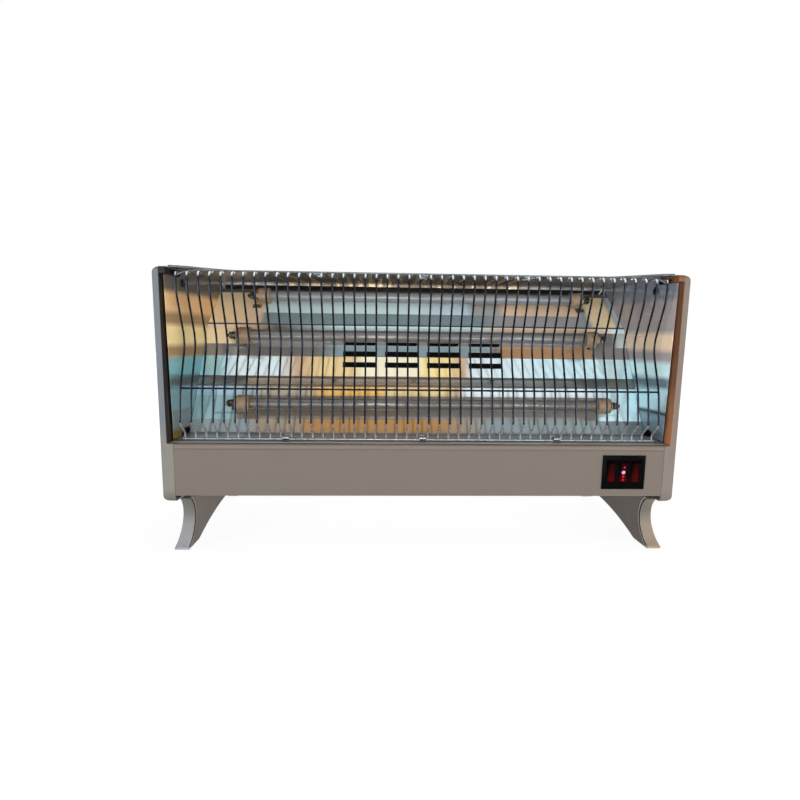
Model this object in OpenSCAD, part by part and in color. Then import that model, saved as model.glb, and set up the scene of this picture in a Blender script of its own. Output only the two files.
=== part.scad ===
// Free-standing fan heater: three radiant tubes in a polished trough behind a wire grille,
// a fan behind the trough, two moulded end caps on two leg frames, and three rocker switches.
// Millimetres, +Z up, the front looks towards -Y, origin on the floor under the middle of the box.
// Modules are drawn with Y counted backwards from the front plane of the end caps and then set in place.

/* [Overall] */
// Width over the end caps
body_w = 540; // [500:5:600]
// Depth from the front plane of the caps to the rear cover
body_d = 190; // [182:1:210]
// Height of the top of the end caps above the floor
cap_top = 290; // [286:1:298]
// Height of the bottom of the end caps above the floor
cap_bottom = 50.6; // [46:0.2:53]

/* [End caps] */
// Width of the front edge strip and of the top strip
cap_edge = 7; // [5:0.5:9]
// How far the top and the lower front face reach inwards
cap_return = 13; // [11:0.5:15]
// Moulded wall behind the front edge
cap_wall = 3; // [2:0.5:4]
// Depth of the full-width front edge
cap_edge_d = 13; // [11:1:18]
// Rounding of the outer corners seen from the front
cap_corner_r = 9; // [5:1:12]

/* [Case] */
// Thickness of the painted sheet
sheet = 1; // [0.8:0.1:1.4]
// Height of the bottom edge of the front panel and of the tray
panel_bottom = 57.4; // [55:0.2:60]
// Height of the top edge of the front panel
panel_top = 112; // [109:0.5:115]
// Rounding of the panel's top edge
panel_lip_r = 3; // [2:0.5:4]
// Gap between a sheet and the moulding next to it
fit_gap = 0.3; // [0.2:0.05:0.5]
// Bend at the top of the rear cover
rear_bend_r = 18; // [10:1:24]
// How far the cover and the reflector stand above the end caps
lip_rise = 1.5; // [1.2:0.1:3]
// Setback of the top edge at its ends
lip_end = 7; // [5:0.5:9]
// Setback of the top edge in the middle
lip_middle = 37; // [30:1:42]
// Length of the curve between them
lip_curve = 60; // [40:5:80]
// Width, height and spacing of the intake louvres
louvre = [46, 3.6, 7.6]; // [3:0.2:60]
// Columns and rows of louvres
louvre_grid = [5, 13]; // [3:1:14]

/* [Reflector] */
// Thickness of the polished sheet
mirror_t = 0.8; // [0.5:0.1:1]
// Lean of the lower facet from the vertical, in degrees
lower_lean = 24; // [21:0.5:25]
// Lean of the upper facet from the vertical, in degrees
upper_lean = 49; // [44:1:50]
// Setback of the lower facet's foot
trough_foot = 40; // [36:0.5:42]
// Height of the rib in the lower facet
rib_z = 167; // [160:1:172]
// Height of the band that the rib covers
rib_h = 10; // [6:1:14]
// How far the rib stands proud
rib_proud = 2; // [1:0.25:3]
// Distance from the top of the end caps down to the crease between the facets
crease_drop = 53; // [50:0.5:57]
// Height of the long air slot under the top sheet
air_slot_h = 6; // [4:0.5:8]
// Distance from the heater's side to the end of the long air slot
air_slot_inset = 24; // [22:1:70]
// Setback of the side sheets' front edge at their top
side_front = 8; // [7:0.5:11]
// Radius of the side sheets' curve in plan
side_r = 645; // [560:5:800]
// Setback at which the side sheets run straight back
side_straight = 130; // [110:1:150]
// Distance from the heater's side to the side sheets at that setback
side_inset = 20.5; // [19:0.5:44]
// Length of one vent slot
vent_w = 37.6; // [30:0.5:42]
// Height of one vent slot
vent_h = 5; // [3:0.5:7]
// Spacing of the vent columns
vent_pitch_x = 49.3; // [46:0.5:54]
// Distances of the vent rows below the crease
vent_rows = [46.1, 33.7, 21.3]; // [15:0.1:55]
// Sideways place of the vents' middle
vent_shift = 3.5; // [-6:0.5:6]

/* [Grille] */
// Number of upright wires
wire_count = 46; // [30:1:50]
// Distance from the heater's side to the first wire
grille_inset = 20; // [20:1:50]
// Thickness of an upright wire
wire_d = 2.3; // [1.8:0.1:2.6]
// Thickness of the rails
rail_d = 2.8; // [2.4:0.1:3.4]
// How far the top rail hangs below the reflector's top sheet
rail_drop = 6.5; // [5:0.5:8]
// Setbacks of the wires: top, waist, mid rod, lower bend and foot
wire_s = [8, 24, 8, 3, 12.5];
// Heights of the waist, of the mid rod and of the lower bend
wire_z = [214, 168.5, 134];
// Straight length of the wires under the top rail
wire_drop = 20; // [14:1:26]
// Distance of the outer clips from the heater's side, at the top and at the bottom
clip_inset = [157, 126]; // [70:1:190]

/* [Tubes] */
// Outer diameter of a heating tube
tube_d = 12.6; // [11:0.2:14]
// Wall of a heating tube
tube_wall = 1.2; // [0.8:0.1:1.6]
// Distance from the heater's side to the ceramic ends' inner face
tube_inset = 80; // [70:1:100]
// Diameter and length of a ceramic end's collar
ceramic_collar = [19, 13]; // [10:0.5:20]
// Diameter and length of its outer neck
ceramic_neck = [11, 4]; // [3:0.5:13]
// Distance up the facet, height over it and sideways place of the top tube
top_tube = [33.3, 16.1, 3.5]; // [-6:0.1:60]
// The same for the middle tube, but down the lower facet from the crease
middle_tube = [25.4, 23.3, -1]; // [-6:0.1:60]
// The same for the bottom tube, up the lower facet from its foot
bottom_tube = [28.9, 16.2, 6.5]; // [-6:0.1:60]
// Thickness of the tube brackets' sheet
bracket_t = 1; // [0.8:0.1:1.4]

/* [Switch] */
// Distance from the heater's side to the switch's middle
switch_inset = 56.2; // [44:0.2:74]
// Height of the switch's middle
switch_z = 83.7; // [81:0.1:86]
// Width and height of the bezel
bezel_size = [46, 36.8]; // [34:0.2:48]
// How far the bezel stands proud of the panel
bezel_proud = 1.5; // [1:0.1:2]
// Width of a rocker
rocker_w = 9; // [8:0.1:9.6]
// Height of a rocker
rocker_h = 23; // [20:0.5:25]
// Spacing of the rockers
rocker_pitch = 12.9; // [12.6:0.1:13.4]
// Angle between a rocker's two positions
rocker_throw = 14; // [10:1:16]
// Diameter of a rocker's pivot pins
pivot_d = 2.4; // [2:0.1:3]
// Running clearance on radius of the pivots and of the fan shaft
running_gap = 0.05; // [0.03:0.01:0.08]

/* [Fan] */
// Diameter over the blades
fan_d = 98; // [80:1:102]
// Depth of the impeller
fan_depth = 16; // [12:1:20]
// Number of blades
blade_count = 5; // [4:1:7]
// Pitch of the blades, in degrees
blade_pitch = 45; // [30:1:55]
// Diameter of the impeller's hub
hub_d = 26; // [20:1:30]
// Distance of the fan's axis below the crease
fan_drop = 34; // [29:0.5:39]
// Gap between the blades and the shroud
tip_gap = 2; // [1:0.25:3]
// Diameter and length of the motor
motor_size = [42, 18]; // [16:1:46]
// Diameter of the shaft
shaft_d = 4; // [3:0.5:5]

/* [Legs] */
// How far the toes stand ahead of the front plane
toe_ahead = 6; // [4:0.5:8]
// Distance from the heater's side to the legs' inner face at the top
leg_inset = 28.5; // [28:0.5:45]
// Width of a leg at the top
leg_w = 10.5; // [9:0.5:11.5]
// Extra width of a leg at the toe
leg_flare = 6; // [3:0.5:7]
// Distance from the back of the rear cover to the rear foot's end
leg_end_gap = 2; // [2:1:10]
// Length of the rear foot
foot_len = 20; // [16:1:22]
// Height of the arch between the feet
arch_h = 20; // [18:0.2:24]
// Radius of the arch
arch_r = 318; // [305:1:330]
// Setback of the arch's highest point
arch_mid = 135; // [131:1:138]
// Wall and rim of a leg
leg_wall = 3.5; // [2.5:0.25:4.5]

/* [Fittings] */
// Bore of the cord gland
gland_bore = 7; // [6:0.5:9]
// Outer diameter of the gland's collar
gland_d = 17; // [14:0.5:20]
// Distance of the gland's middle from the heater's side, and its height
gland_place = [74, 80]; // [60:1:90]
// Head diameter and shank diameter of the small screws
screw = [6.4, 3]; // [2:0.2:8]

/* [Hidden] */
$fn = 48;
// A hair that cuts run past a face
over = 1;
gland_out = 3;
front_y = -(toe_ahead + body_d + gland_out) / 2 + toe_ahead;
half_w = body_w / 2;
cap_inner = half_w - cap_edge;
// Widths that follow the heater's width
side_half = half_w - side_inset;
leg_inner = half_w - leg_inset;
switch_x = half_w - switch_inset;
wire_span = 2 * (half_w - grille_inset);
tube_len = 2 * (half_w - tube_inset);
air_slot_w = 2 * (half_w - air_slot_inset);
gland_x = half_w - gland_place[0];
return_x = half_w - cap_return;
tray_z = panel_bottom + sheet;
lip_z = cap_top + lip_rise;
mirror_z = lip_z - sheet - mirror_t;
rear_y = body_d - sheet;
leg_back = body_d - leg_end_gap;
crease_z = cap_top - crease_drop;
fan_z = crease_z - fan_drop;
cream = [0.78, 0.77, 0.74];
beige = [0.54, 0.49, 0.46];
steel = [0.72, 0.74, 0.76];
black = [0.08, 0.08, 0.09];
// The trough: foot, crease and upper end of its facets, as [setback, height]
foot_z = panel_top + 4.6;
flange_front = [6, panel_top + 1.2];
foot = [trough_foot, foot_z];
crease = foot + (crease_z - foot_z) * [tan(lower_lean), 1];
slot_low = mirror_z - air_slot_h - 1.5;
summit = crease + (slot_low - crease_z) * [tan(upper_lean), 1];
top_back = summit[0] + 4;
rib_low = foot + (rib_z - foot_z) * [tan(lower_lean), 1];
rib_high = rib_low + rib_h * [tan(lower_lean), 1];
rib_step = [-rib_proud, rib_proud];
lower_up = [sin(lower_lean), cos(lower_lean)];
upper_up = [sin(upper_lean), cos(upper_lean)];
// Tubes from top to bottom: foot of the facet, direction up the facet, lean and place on it
TUBES = [[crease, upper_up, upper_lean, top_tube],
    [crease, lower_up, lower_lean, [-middle_tube[0], middle_tube[1], middle_tube[2]]],
    [foot, lower_up, lower_lean, bottom_tube]];
ceramic_gap = 0.15;
// The switch: setback of the pivots and half the angle of a throw
pivot_s = 2;
rocker_rest = rocker_throw / 2;
rocker_face = 3;
body_size = [bezel_size[0] - 4, bezel_size[1] - 4];
// The fan along the heater's depth
shroud_r = fan_d / 2 + tip_gap;
shroud_wall = 2;
shroud_front = facet_s(fan_z + shroud_r + shroud_wall) + 2 * mirror_t + 0.4;
fan_front = shroud_front + 3;
hub_len = fan_depth + 2;
plate_t = 1.2;
plate_s = fan_front + hub_len + 2;
strap_t = 1.5;
motor_s = plate_s + plate_t + strap_t;
fan_x = vent_shift;
side_centre = [side_half + side_r, side_straight];
plate_w = 2 * (shroud_r + 22);
plate_rim = 8;
plate_foot = 12;
strap_lap = 12;
strap_w = 16;
panel_turn = [10, 9];
floor_z = tray_z + sheet;
louvre_gap = 9;
// Screws: clearance holes, the side sheets' screws as [setback, height], and those of the rear cover
screw_hole = screw[1] + 0.2;
side_screw = [38, cap_top - 13];
side_screw_len = 8;
notch_d = 22;
case_screw_x = return_x + 3;
CASE_SCREWS = [panel_bottom + 12, (panel_bottom + cap_top) / 2, cap_top - rear_bend_r - 10];
boss_d = 9;
ledge_len = 18;
CAP_LEDGES = [22, rear_y - 46];
tray_turn = 12;
// Grille: rails as [setback, height] and the distance between the axes of a wire and a rail that touch
rail_z = mirror_z - rail_drop;
rail_s = wire_s[0] + 6;
top_r = 4;
touch = (wire_d + rail_d) / 2 + 0.02;
wire_top = rail_z + touch;
wire_pitch = wire_span / (wire_count - 1);
flange_slope = (foot - flange_front)[1] / (foot - flange_front)[0];
eye_wall = 1.2;
foot_rise = rail_d / 2 + eye_wall + 0.15;
foot_rail = [wire_s[4], flange_front[1] + (wire_s[4] - flange_front[0]) * flange_slope + foot_rise + 0.05];
low_bend = [wire_s[3], wire_z[2]];
foot_dir = unit(foot_rail - low_bend);
// Middle line of an upright wire, from its tail on the top rail down to the foot rail
WIRE = concat([[rail_s + 3, wire_top]], arc([wire_s[0] + top_r, wire_top - top_r], top_r, 90, 180, 3),
    [[wire_s[0], wire_top - wire_drop], [wire_s[1] - 1, wire_z[0] + 8], [wire_s[1] - 1, wire_z[0] - 5],
    [wire_s[2], wire_z[1]], low_bend, foot_rail - (touch + 0.05) * left_of(foot_dir)]);
// Clips: width, reach of the top and the bottom strap, and their places at the top and at the bottom
clip_w = 7;
clip_reach = [lip_middle + 9 - rail_s, 14];
clip_hole = 4;
CLIPS = [for (k = [-1:1]) [for (d = clip_inset) k == 0 ? between_wires(0) : k * between_wires(half_w - d)]];
// Tube ends: how deep a tube sits in its ceramic, and the ceramic's collar
seat = 6;
collar_d = ceramic_collar[0];
collar_len = ceramic_collar[1];
// Switch body, the play round a rocker and the rockers' places
body_depth = 14;
play = 0.3;
ROCKERS = [-rocker_pitch, 0, rocker_pitch];
// Legs: height of the front face, slot behind it, rounding of the toe and the narrowest place
leg_top = panel_bottom - 3.4;
leg_slot = 12;
toe_r = 3;
leg_waist = [12, 30];
front_curve = circle_through([0, leg_top], leg_waist, [-toe_ahead, toe_r]);
arch_centre = [arch_mid, arch_h - arch_r];
foot_s = leg_back - foot_len;
leg_screw_x = leg_inner + 3.6;
LEG_SCREWS = [leg_slot + 28, foot_s - 18];
// Fittings: cutout as sideways place and distance up the facet, block as sideways place and setback
cutout_at = [150 - half_w, 85];
cutout_d = 16;
block_at = [half_w - 160, 118];
block_size = [46, 18, 14];
gland_in = 5;

function unit(v) = v / norm(v);
function left_of(v) = [-v[1], v[0]];
function bearing(c, p) = atan2(p[1] - c[1], p[0] - c[0]);
function smooth(t) = t * t * (3 - 2 * t);
// Point i of a path, moved sideways by t with mitred corners
function mitre(p, i, t) = let (
    a = left_of(unit(i > 0 ? p[i] - p[i - 1] : p[1] - p[0])),
    b = left_of(unit(i < len(p) - 1 ? p[i + 1] - p[i] : p[i] - p[i - 1])),
    m = unit(a + b)) p[i] + m * t / (m * a);
// Outline of a bent sheet whose one face follows a path
function bent(p, t) = concat(p, [for (i = [len(p) - 1:-1:0]) mitre(p, i, t)]);
function arc(c, r, from, to, steps) =
    [for (i = [0:steps]) c + r * [cos(from + (to - from) * i / steps), sin(from + (to - from) * i / steps)]];
// Setback of the top edge at a distance x from the middle
function lip_s(x) = let (t = (abs(x) - (return_x - lip_curve)) / lip_curve)
    lip_middle + (lip_end - lip_middle) * smooth(min(1, max(0, t)));
// Setback of the facets' front face at a height
function facet_s(z) = z < crease_z ? foot[0] + (z - foot_z) * tan(lower_lean)
    : crease[0] + (z - crease_z) * tan(upper_lean);
// The gap between two wires that is nearest to a distance x from the middle
function between_wires(x) = wire_pitch * (wire_count % 2 == 0 ? round(x / wire_pitch)
    : floor(x / wire_pitch) + 0.5);
// Inner face of the side sheets at a setback
function side_x(s) = side_centre[0] - sqrt(pow(side_r, 2) - pow(s - side_centre[1], 2));
// Centre of a tube as [setback, height]
function tube_at(t) = t[0] + t[3][0] * t[1] + t[3][1] * [-t[1][1], t[1][0]];

// Centre and radius of the circle through three points
function circle_through(a, b, c) = let (
    u = b - a, v = c - a, d = 2 * (u[0] * v[1] - u[1] * v[0]),
    p = [v[1] * (u * u) - u[1] * (v * v), u[0] * (v * v) - v[0] * (u * u)] / d) [a + p, norm(p)];

module placed() translate([0, front_y, 0]) children();
// A [setback, height] outline, extruded across the heater about its middle
module across(w) rotate([90, 0, 90]) linear_extrude(w, center = true) children();
module along_x(d, w) rotate([0, 90, 0]) cylinder(d = d, h = w, center = true);
module along_y(d, w) rotate([-90, 0, 0]) cylinder(d = d, h = w);
module both_sides() {
    children();
    mirror([1, 0, 0]) children();
}
// Cross recess of a screw head that looks up
module screw_up(length) {
    head = screw[0];
    difference() {
        cylinder(d = head, h = 1.8);
        for (a = [0, 90])
            rotate([0, 0, a]) translate([-head * 0.3, -0.45, 1.1]) cube([head * 0.6, 0.9, over]);
    }
    translate([0, 0, -length]) cylinder(d = screw[1], h = length);
}

// End caps
// Outline of a cap from the side, drawn in by a wall
module cap_side_outline(wall) {
    front_r = 4.5;
    low_r = 8;
    polygon(concat(arc([front_r, cap_top - front_r], front_r - wall, 180, 90, 6),
        arc([body_d - rear_bend_r, cap_top - rear_bend_r], rear_bend_r - wall, 90, 0, 16),
        arc([body_d - low_r, cap_bottom + low_r], low_r - wall, 0, -90, 8),
        arc([front_r, cap_bottom + front_r], front_r - wall, -90, -180, 6)));
}
module cap_front_outline() {
    r = cap_corner_r;
    polygon(concat([[return_x, cap_bottom]], arc([half_w - r, cap_bottom + r], r, -90, 0, 12),
        arc([half_w - r, cap_top - r], r, 0, 90, 12), [[return_x, cap_top]]));
}
module cap_plan_outline() {
    front_r = 2;
    rear_r = 6;
    polygon(concat([[return_x, 0]], arc([half_w - front_r, front_r], front_r, -90, 0, 6),
        arc([half_w - rear_r, body_d - rear_r], rear_r, 0, 90, 8), [[return_x, body_d]]));
}
// A block open on a cap's inner side: its reach outwards, then two setbacks and two heights
module cap_block(reach, s, z)
    translate([return_x - over, s[0], z[0]]) cube([reach + over, s[1] - s[0], z[1] - z[0]]);
module cap_hollow() {
    low_z = cap_bottom + cap_wall;
    back = rear_y - cap_wall;
    // Above the shelf: the strip's full width at the front, the thin wall behind it
    cap_block(cap_return - cap_edge, [-over, cap_edge_d + over], [panel_top, cap_top - cap_edge]);
    intersection() {
        across(body_w) cap_side_outline(cap_wall);
        cap_block(cap_return - cap_wall, [cap_edge_d, back], [panel_top, cap_top]);
    }
    // Below the shelf and behind the closed lower front, open to the upper room at the rear
    cap_block(cap_return - cap_wall, [cap_wall, back], [low_z, panel_top - cap_wall]);
    cap_block(cap_return - cap_wall, [trough_foot + 4, back], [low_z, panel_top + over]);
}
module end_cap() {
    boss_x = side_x(side_screw[0]) + 1.6;
    difference() {
        intersection() {
            across(2 * body_w) cap_side_outline(0);
            translate([0, body_d + over, 0]) rotate([90, 0, 0])
                linear_extrude(body_d + 2 * over) cap_front_outline();
            linear_extrude(cap_top + over) cap_plan_outline();
        }
        cap_hollow();
        // Seat of the rear cover's lapped edge
        cap_block(cap_return - cap_edge + fit_gap, [rear_y, body_d + over],
            [panel_bottom - fit_gap, cap_top - rear_bend_r + fit_gap]);
        for (z = CASE_SCREWS)
            translate([case_screw_x, rear_y - cap_wall - over, z]) along_y(screw_hole, cap_wall + 2 * over);
    }
    // Ledges for the tray, and a boss behind the side sheet's screw
    for (s = CAP_LEDGES)
        translate([return_x + over, s, cap_bottom + over])
            cube([cap_return - cap_wall - 0.5, ledge_len, tray_z - cap_bottom - over]);
    translate([boss_x, side_screw[0], side_screw[1]]) rotate([0, 90, 0])
        difference() {
            cylinder(d = boss_d, h = half_w - cap_wall + 0.5 - boss_x);
            translate([0, 0, -over]) cylinder(d = screw_hole, h = boss_d);
        }
}
module end_cap_right() color(cream) placed() end_cap();
module end_cap_left() color(cream) placed() mirror([1, 0, 0]) end_cap();

// Case
module front_panel() {
    w = 2 * (return_x - fit_gap);
    r = panel_lip_r;
    path = concat([[panel_turn[0], panel_bottom], [0, panel_bottom]],
        arc([r, panel_top - r], r, 180, 90, 6), [[panel_turn[1], panel_top]]);
    color(beige) placed() difference() {
        across(w) polygon(bent(path, -sheet));
        translate([switch_x, 0, switch_z])
            cube([body_size[0] + 2 * fit_gap, 2 * (sheet + over), body_size[1] + 2 * fit_gap], center = true);
    }
}
module base_tray() {
    inner_w = 2 * (return_x - fit_gap);
    outer_w = 2 * (cap_inner - fit_gap);
    front = cap_wall + fit_gap;
    back = rear_y - fit_gap;
    waist = back - cap_wall - fit_gap;
    color("silver") placed() {
        difference() {
            translate([-outer_w / 2, front, tray_z]) cube([outer_w, waist - front, sheet]);
            for (x = [-1, 1], s = LEG_SCREWS)
                translate([x * leg_screw_x, s, tray_z - over]) cylinder(d = screw_hole, h = sheet + 2 * over);
        }
        translate([-inner_w / 2, waist - over, tray_z]) cube([inner_w, back - waist + over, sheet]);
        translate([-inner_w / 2, back - sheet, tray_z]) cube([inner_w, sheet, tray_turn]);
    }
}
module lip_plan(w, back) {
    steps = 16;
    edge = [for (i = [0:steps]) let (x = return_x - lip_curve * i / steps) [x, lip_s(x)]];
    intersection() {
        polygon(concat([[return_x, back + over]], edge, [for (i = [steps:-1:0]) [-edge[i][0], edge[i][1]]],
            [[-return_x, back + over]]));
        translate([-w / 2, 0]) square([w, back]);
    }
}
module louvres() {
    w = louvre[0];
    for (i = [0:louvre_grid[0] - 1], k = [0:louvre_grid[1] - 1])
        translate([fan_x + (i - (louvre_grid[0] - 1) / 2) * (w + louvre_gap), rear_y,
            fan_z + (k - (louvre_grid[1] - 1) / 2) * louvre[2]])
            cube([w, 4 * over, louvre[1]], center = true);
}
module rear_cover() {
    r = rear_bend_r;
    w = 2 * (return_x - fit_gap);
    top_path = concat([[0, lip_z]], arc([body_d - r, lip_z - r], r, 90, 0, 14),
        [[body_d, cap_top - r - over]]);
    lap_w = 2 * cap_inner;
    color(beige) placed() {
        intersection() {
            across(w) polygon(bent(top_path, -sheet));
            linear_extrude(lip_z + over) lip_plan(w, body_d + over);
        }
        difference() {
            translate([-lap_w / 2, rear_y, panel_bottom]) cube([lap_w, sheet, cap_top - r - panel_bottom]);
            louvres();
            translate([gland_x, rear_y - over, gland_place[1]]) along_y(gland_d - 5, sheet + 2 * over);
            for (x = [-1, 1], z = CASE_SCREWS)
                translate([x * case_screw_x, rear_y - over, z]) along_y(screw_hole, sheet + 2 * over);
        }
    }
}

// Reflector
module side_region(clear) both_sides()
    translate([side_centre[0], side_centre[1], 0]) cylinder(r = side_r + clear, h = lip_z + over, $fn = 720);
module vents() {
    for (i = [-1.5:1.5], drop = vent_rows)
        translate([vent_shift + i * vent_pitch_x, 0, crease_z - drop]) {
            straight = vent_w - vent_h;
            translate([-straight / 2, 0, -vent_h / 2]) cube([straight, body_d, vent_h]);
            for (x = [-1, 1])
                translate([x * straight / 2, 0, 0]) along_y(vent_h, body_d);
        }
}
module reflector_back() {
    path = concat([[flange_front[0], panel_top + 0.2], flange_front, foot, rib_low, rib_low + rib_step,
        rib_high + [rib_step[0], -rib_step[1]], rib_high, crease, summit]);
    color(steel) placed() difference() {
        across(2 * cap_inner) polygon(bent(path, -mirror_t));
        side_region(0.2);
        vents();
    }
}
module reflector_top() {
    w = 2 * (return_x - 0.5);
    back = top_back;
    end_x = side_x(back) - fit_gap;
    color(steel) placed() {
        translate([0, 0, mirror_z]) linear_extrude(mirror_t) lip_plan(w, back);
        // Turned-down rear edge over the air slot, closed beyond its ends
        translate([-end_x, back - mirror_t, mirror_z - 2]) cube([2 * end_x, mirror_t, 2.2]);
        both_sides() translate([air_slot_w / 2, back - mirror_t, slot_low])
            cube([max(0.8, end_x - air_slot_w / 2), mirror_t, mirror_z - slot_low + 0.1]);
    }
}
module reflector_side() {
    low = panel_top + 2.6;
    step_s = 36;
    top = cap_top - cap_edge - fit_gap;
    high = mirror_z - 0.3;
    difference() {
        intersection() {
            translate([side_centre[0], side_centre[1], 0]) difference() {
                cylinder(r = side_r, h = high, $fn = 720);
                translate([0, 0, -over]) cylinder(r = side_r - mirror_t, h = high + 2 * over, $fn = 720);
            }
            across(body_w) polygon([[side_front + 4, low], [side_front, top], [step_s, top], [step_s, high],
                [top_back - mirror_t - 0.3, high], summit, crease, foot + [0, 1]]);
        }
        // Rounded notch at the lower end of the seam
        translate([half_w, trough_foot - 5, foot_z - 4]) along_x(notch_d, cap_return * 6);
        translate([half_w, side_screw[0], side_screw[1]]) along_x(screw_hole, cap_return * 6);
    }
}
module reflector_side_right() color(steel) placed() reflector_side();
module reflector_side_left() color(steel) placed() mirror([1, 0, 0]) reflector_side();
module reflector_screws() color("silver") placed() both_sides()
    translate([side_x(side_screw[0] + screw[0] / 2) - 0.02, side_screw[0], side_screw[1]])
        rotate([0, -90, 0]) screw_up(side_screw_len);

// Grille
// A rod swept along a path of [setback, height] points
module rod_path(p, d, sides) {
    rings = [for (i = [0:len(p) - 1], k = [0:sides - 1])
        let (a = 360 * (k + 0.5) / sides, q = p[i] + (mitre(p, i, 1) - p[i]) * cos(a) * d / 2)
            [sin(a) * d / 2, q[0], q[1]]];
    walls = [for (i = [0:len(p) - 2], k = [0:sides - 1])
        let (n = (k + 1) % sides, b = i * sides) [b + k, b + n, b + sides + n, b + sides + k]];
    ends = [[for (k = [sides - 1:-1:0]) k], [for (k = [0:sides - 1]) (len(p) - 1) * sides + k]];
    polyhedron(rings, concat(walls, ends));
}
module front_grille() color("silver") placed()
    for (i = [0:wire_count - 1])
        translate([(i - (wire_count - 1) / 2) * wire_pitch, 0, 0]) rod_path(WIRE, wire_d, 6);
module grille_rails() {
    w = wire_span + wire_d;
    color("silver") placed() {
        for (p = [[rail_s, rail_z], [wire_s[2] + touch, wire_z[1]], foot_rail])
            translate([0, p[0], p[1]]) along_x(rail_d, w);
    }
}
module clip(rise, length) {
    // An eye round the rail at the origin, and a strap that lies rise above the rail's axis
    eye = rail_d + 2 * eye_wall;
    difference() {
        union() {
            along_x(eye, clip_w);
            translate([-clip_w / 2, -0.5, 0]) cube([clip_w, 1, rise]);
            translate([-clip_w / 2, -0.5, rise - 1]) cube([clip_w, length, 1]);
        }
        along_x(rail_d + 0.1, clip_w + 2 * over);
        translate([0, length - clip_hole, rise - over - 1]) cylinder(d = screw_hole, h = 3 * over);
    }
}
module at_top_clips() for (c = CLIPS)
    translate([c[0], rail_s, rail_z]) children();
module at_foot_clips() for (c = CLIPS)
    translate([c[1], foot_rail[0], foot_rail[1]])
        rotate([atan(flange_slope), 0, 0]) mirror([0, 0, 1]) children();
module grille_clips() color("silver") placed() {
    at_top_clips() clip(rail_drop, clip_reach[0]);
    at_foot_clips() clip(foot_rise, clip_reach[1]);
}
module grille_screws() color("silver") placed() {
    at_top_clips() translate([0, clip_reach[0] - clip_hole, rail_drop - 1]) mirror([0, 0, 1]) screw_up(1);
    at_foot_clips() translate([0, clip_reach[1] - clip_hole, foot_rise - 1]) mirror([0, 0, 1]) screw_up(1);
}

// Heating tubes
// Sets its children on the axis of a tube, with Z up the facet and Y into it
module on_tube(t) translate([t[3][2], tube_at(t)[0], tube_at(t)[1]]) rotate([-t[2], 0, 0]) children();
module heating_tube(t) color("lightgrey") placed() on_tube(t)
    difference() {
        along_x(tube_d, tube_len + 2 * seat);
        along_x(tube_d - 2 * tube_wall, tube_len + 2 * seat + over);
    }
module heating_tube_top() heating_tube(TUBES[0]);
module heating_tube_middle() heating_tube(TUBES[1]);
module heating_tube_bottom() heating_tube(TUBES[2]);
module resistance_cores() color("dimgray") placed()
    for (t = TUBES) on_tube(t) along_x(tube_d - 2 * tube_wall - 1.4, tube_len + 2 * seat);
module ceramic_end() translate([tube_len / 2, 0, 0]) rotate([0, 90, 0])
    difference() {
        union() {
            cylinder(d = collar_d, h = collar_len);
            translate([0, 0, collar_len - 0.5]) cylinder(d = ceramic_neck[0], h = ceramic_neck[1] + 0.5);
        }
        translate([0, 0, -over]) cylinder(d = tube_d + 0.2, h = seat + over + 0.2);
    }
module ceramic_ends() color([0.75, 0.66, 0.55]) placed()
    for (t = TUBES) on_tube(t) both_sides() ceramic_end();
module tube_terminals() color([0.45, 0.4, 0.3]) placed()
    for (t = TUBES) on_tube(t) both_sides()
        translate([tube_len / 2 + collar_len + ceramic_neck[1] + 0.05, 0, 0]) rotate([0, 90, 0]) {
            cylinder(d = 9, h = 1);
            cylinder(d = 4, h = 9);
            translate([0, 0, 2]) cylinder(d = 8.4, h = 3.2, $fn = 6);
            translate([0, 0, 6]) cylinder(d = 8.4, h = 1.6, $fn = 6);
        }
module tube_brackets() color("silver") placed()
    for (t = TUBES) on_tube(t) both_sides()
        translate([tube_len / 2 + collar_len / 2, 0, 0]) {
            w = 8;
            height = t[3][1];
            difference() {
                union() {
                    along_x(collar_d + 2 * bracket_t, w);
                    translate([-w / 2, 0, -bracket_t / 2]) cube([w, height, bracket_t]);
                    translate([-w / 2, height - bracket_t, -9]) cube([w, bracket_t, 18]);
                }
                along_x(collar_d + 2 * ceramic_gap, w + 2 * over);
            }
        }

// Switch
module at_switch() placed() translate([switch_x, 0, switch_z]) children();
module rocker_windows(front, depth)
    for (x = ROCKERS)
        translate([x - rocker_w / 2 - play, front - over, -rocker_h / 2 - play])
            cube([rocker_w + 2 * play, depth + over, rocker_h + 2 * play]);
module switch_bezel() color(black) at_switch() difference() {
    translate([-bezel_size[0] / 2, -bezel_proud, -bezel_size[1] / 2])
        cube([bezel_size[0], bezel_proud, bezel_size[1]]);
    rocker_windows(-bezel_proud, bezel_proud + over);
}
module switch_body() color(black) at_switch() difference() {
    translate([-body_size[0] / 2, 0, -body_size[1] / 2]) cube([body_size[0], body_depth, body_size[1]]);
    rocker_windows(0, body_depth - 3);
    translate([0, pivot_s, 0]) along_x(pivot_d + 2 * running_gap, 2 * rocker_pitch + rocker_w + 2 * play + 3);
}
module switch_tabs() color("gold") at_switch()
    for (x = ROCKERS, z = [-7, 7])
        translate([x - 2.4, body_depth, z - 0.4]) cube([4.8, 8, 0.8]);
module rocker(x) {
    r = rocker_h / 2;
    proud = rocker_face + r * tan(rocker_rest);
    color([0.5, 0.03, 0.03]) at_switch() translate([x, pivot_s, 0]) rotate([rocker_rest, 0, 0]) {
        intersection() {
            across(rocker_w) polygon([[-proud, r], [-rocker_face, 0], [-proud, -r], [4.5, -r], [4.5, r]]);
            along_x(rocker_h, rocker_w);
        }
        along_x(pivot_d, rocker_w + 2 * play + 2);
    }
}
module rocker_left() rocker(ROCKERS[0]);
module rocker_centre() rocker(ROCKERS[1]);
module rocker_right() rocker(ROCKERS[2]);

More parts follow.
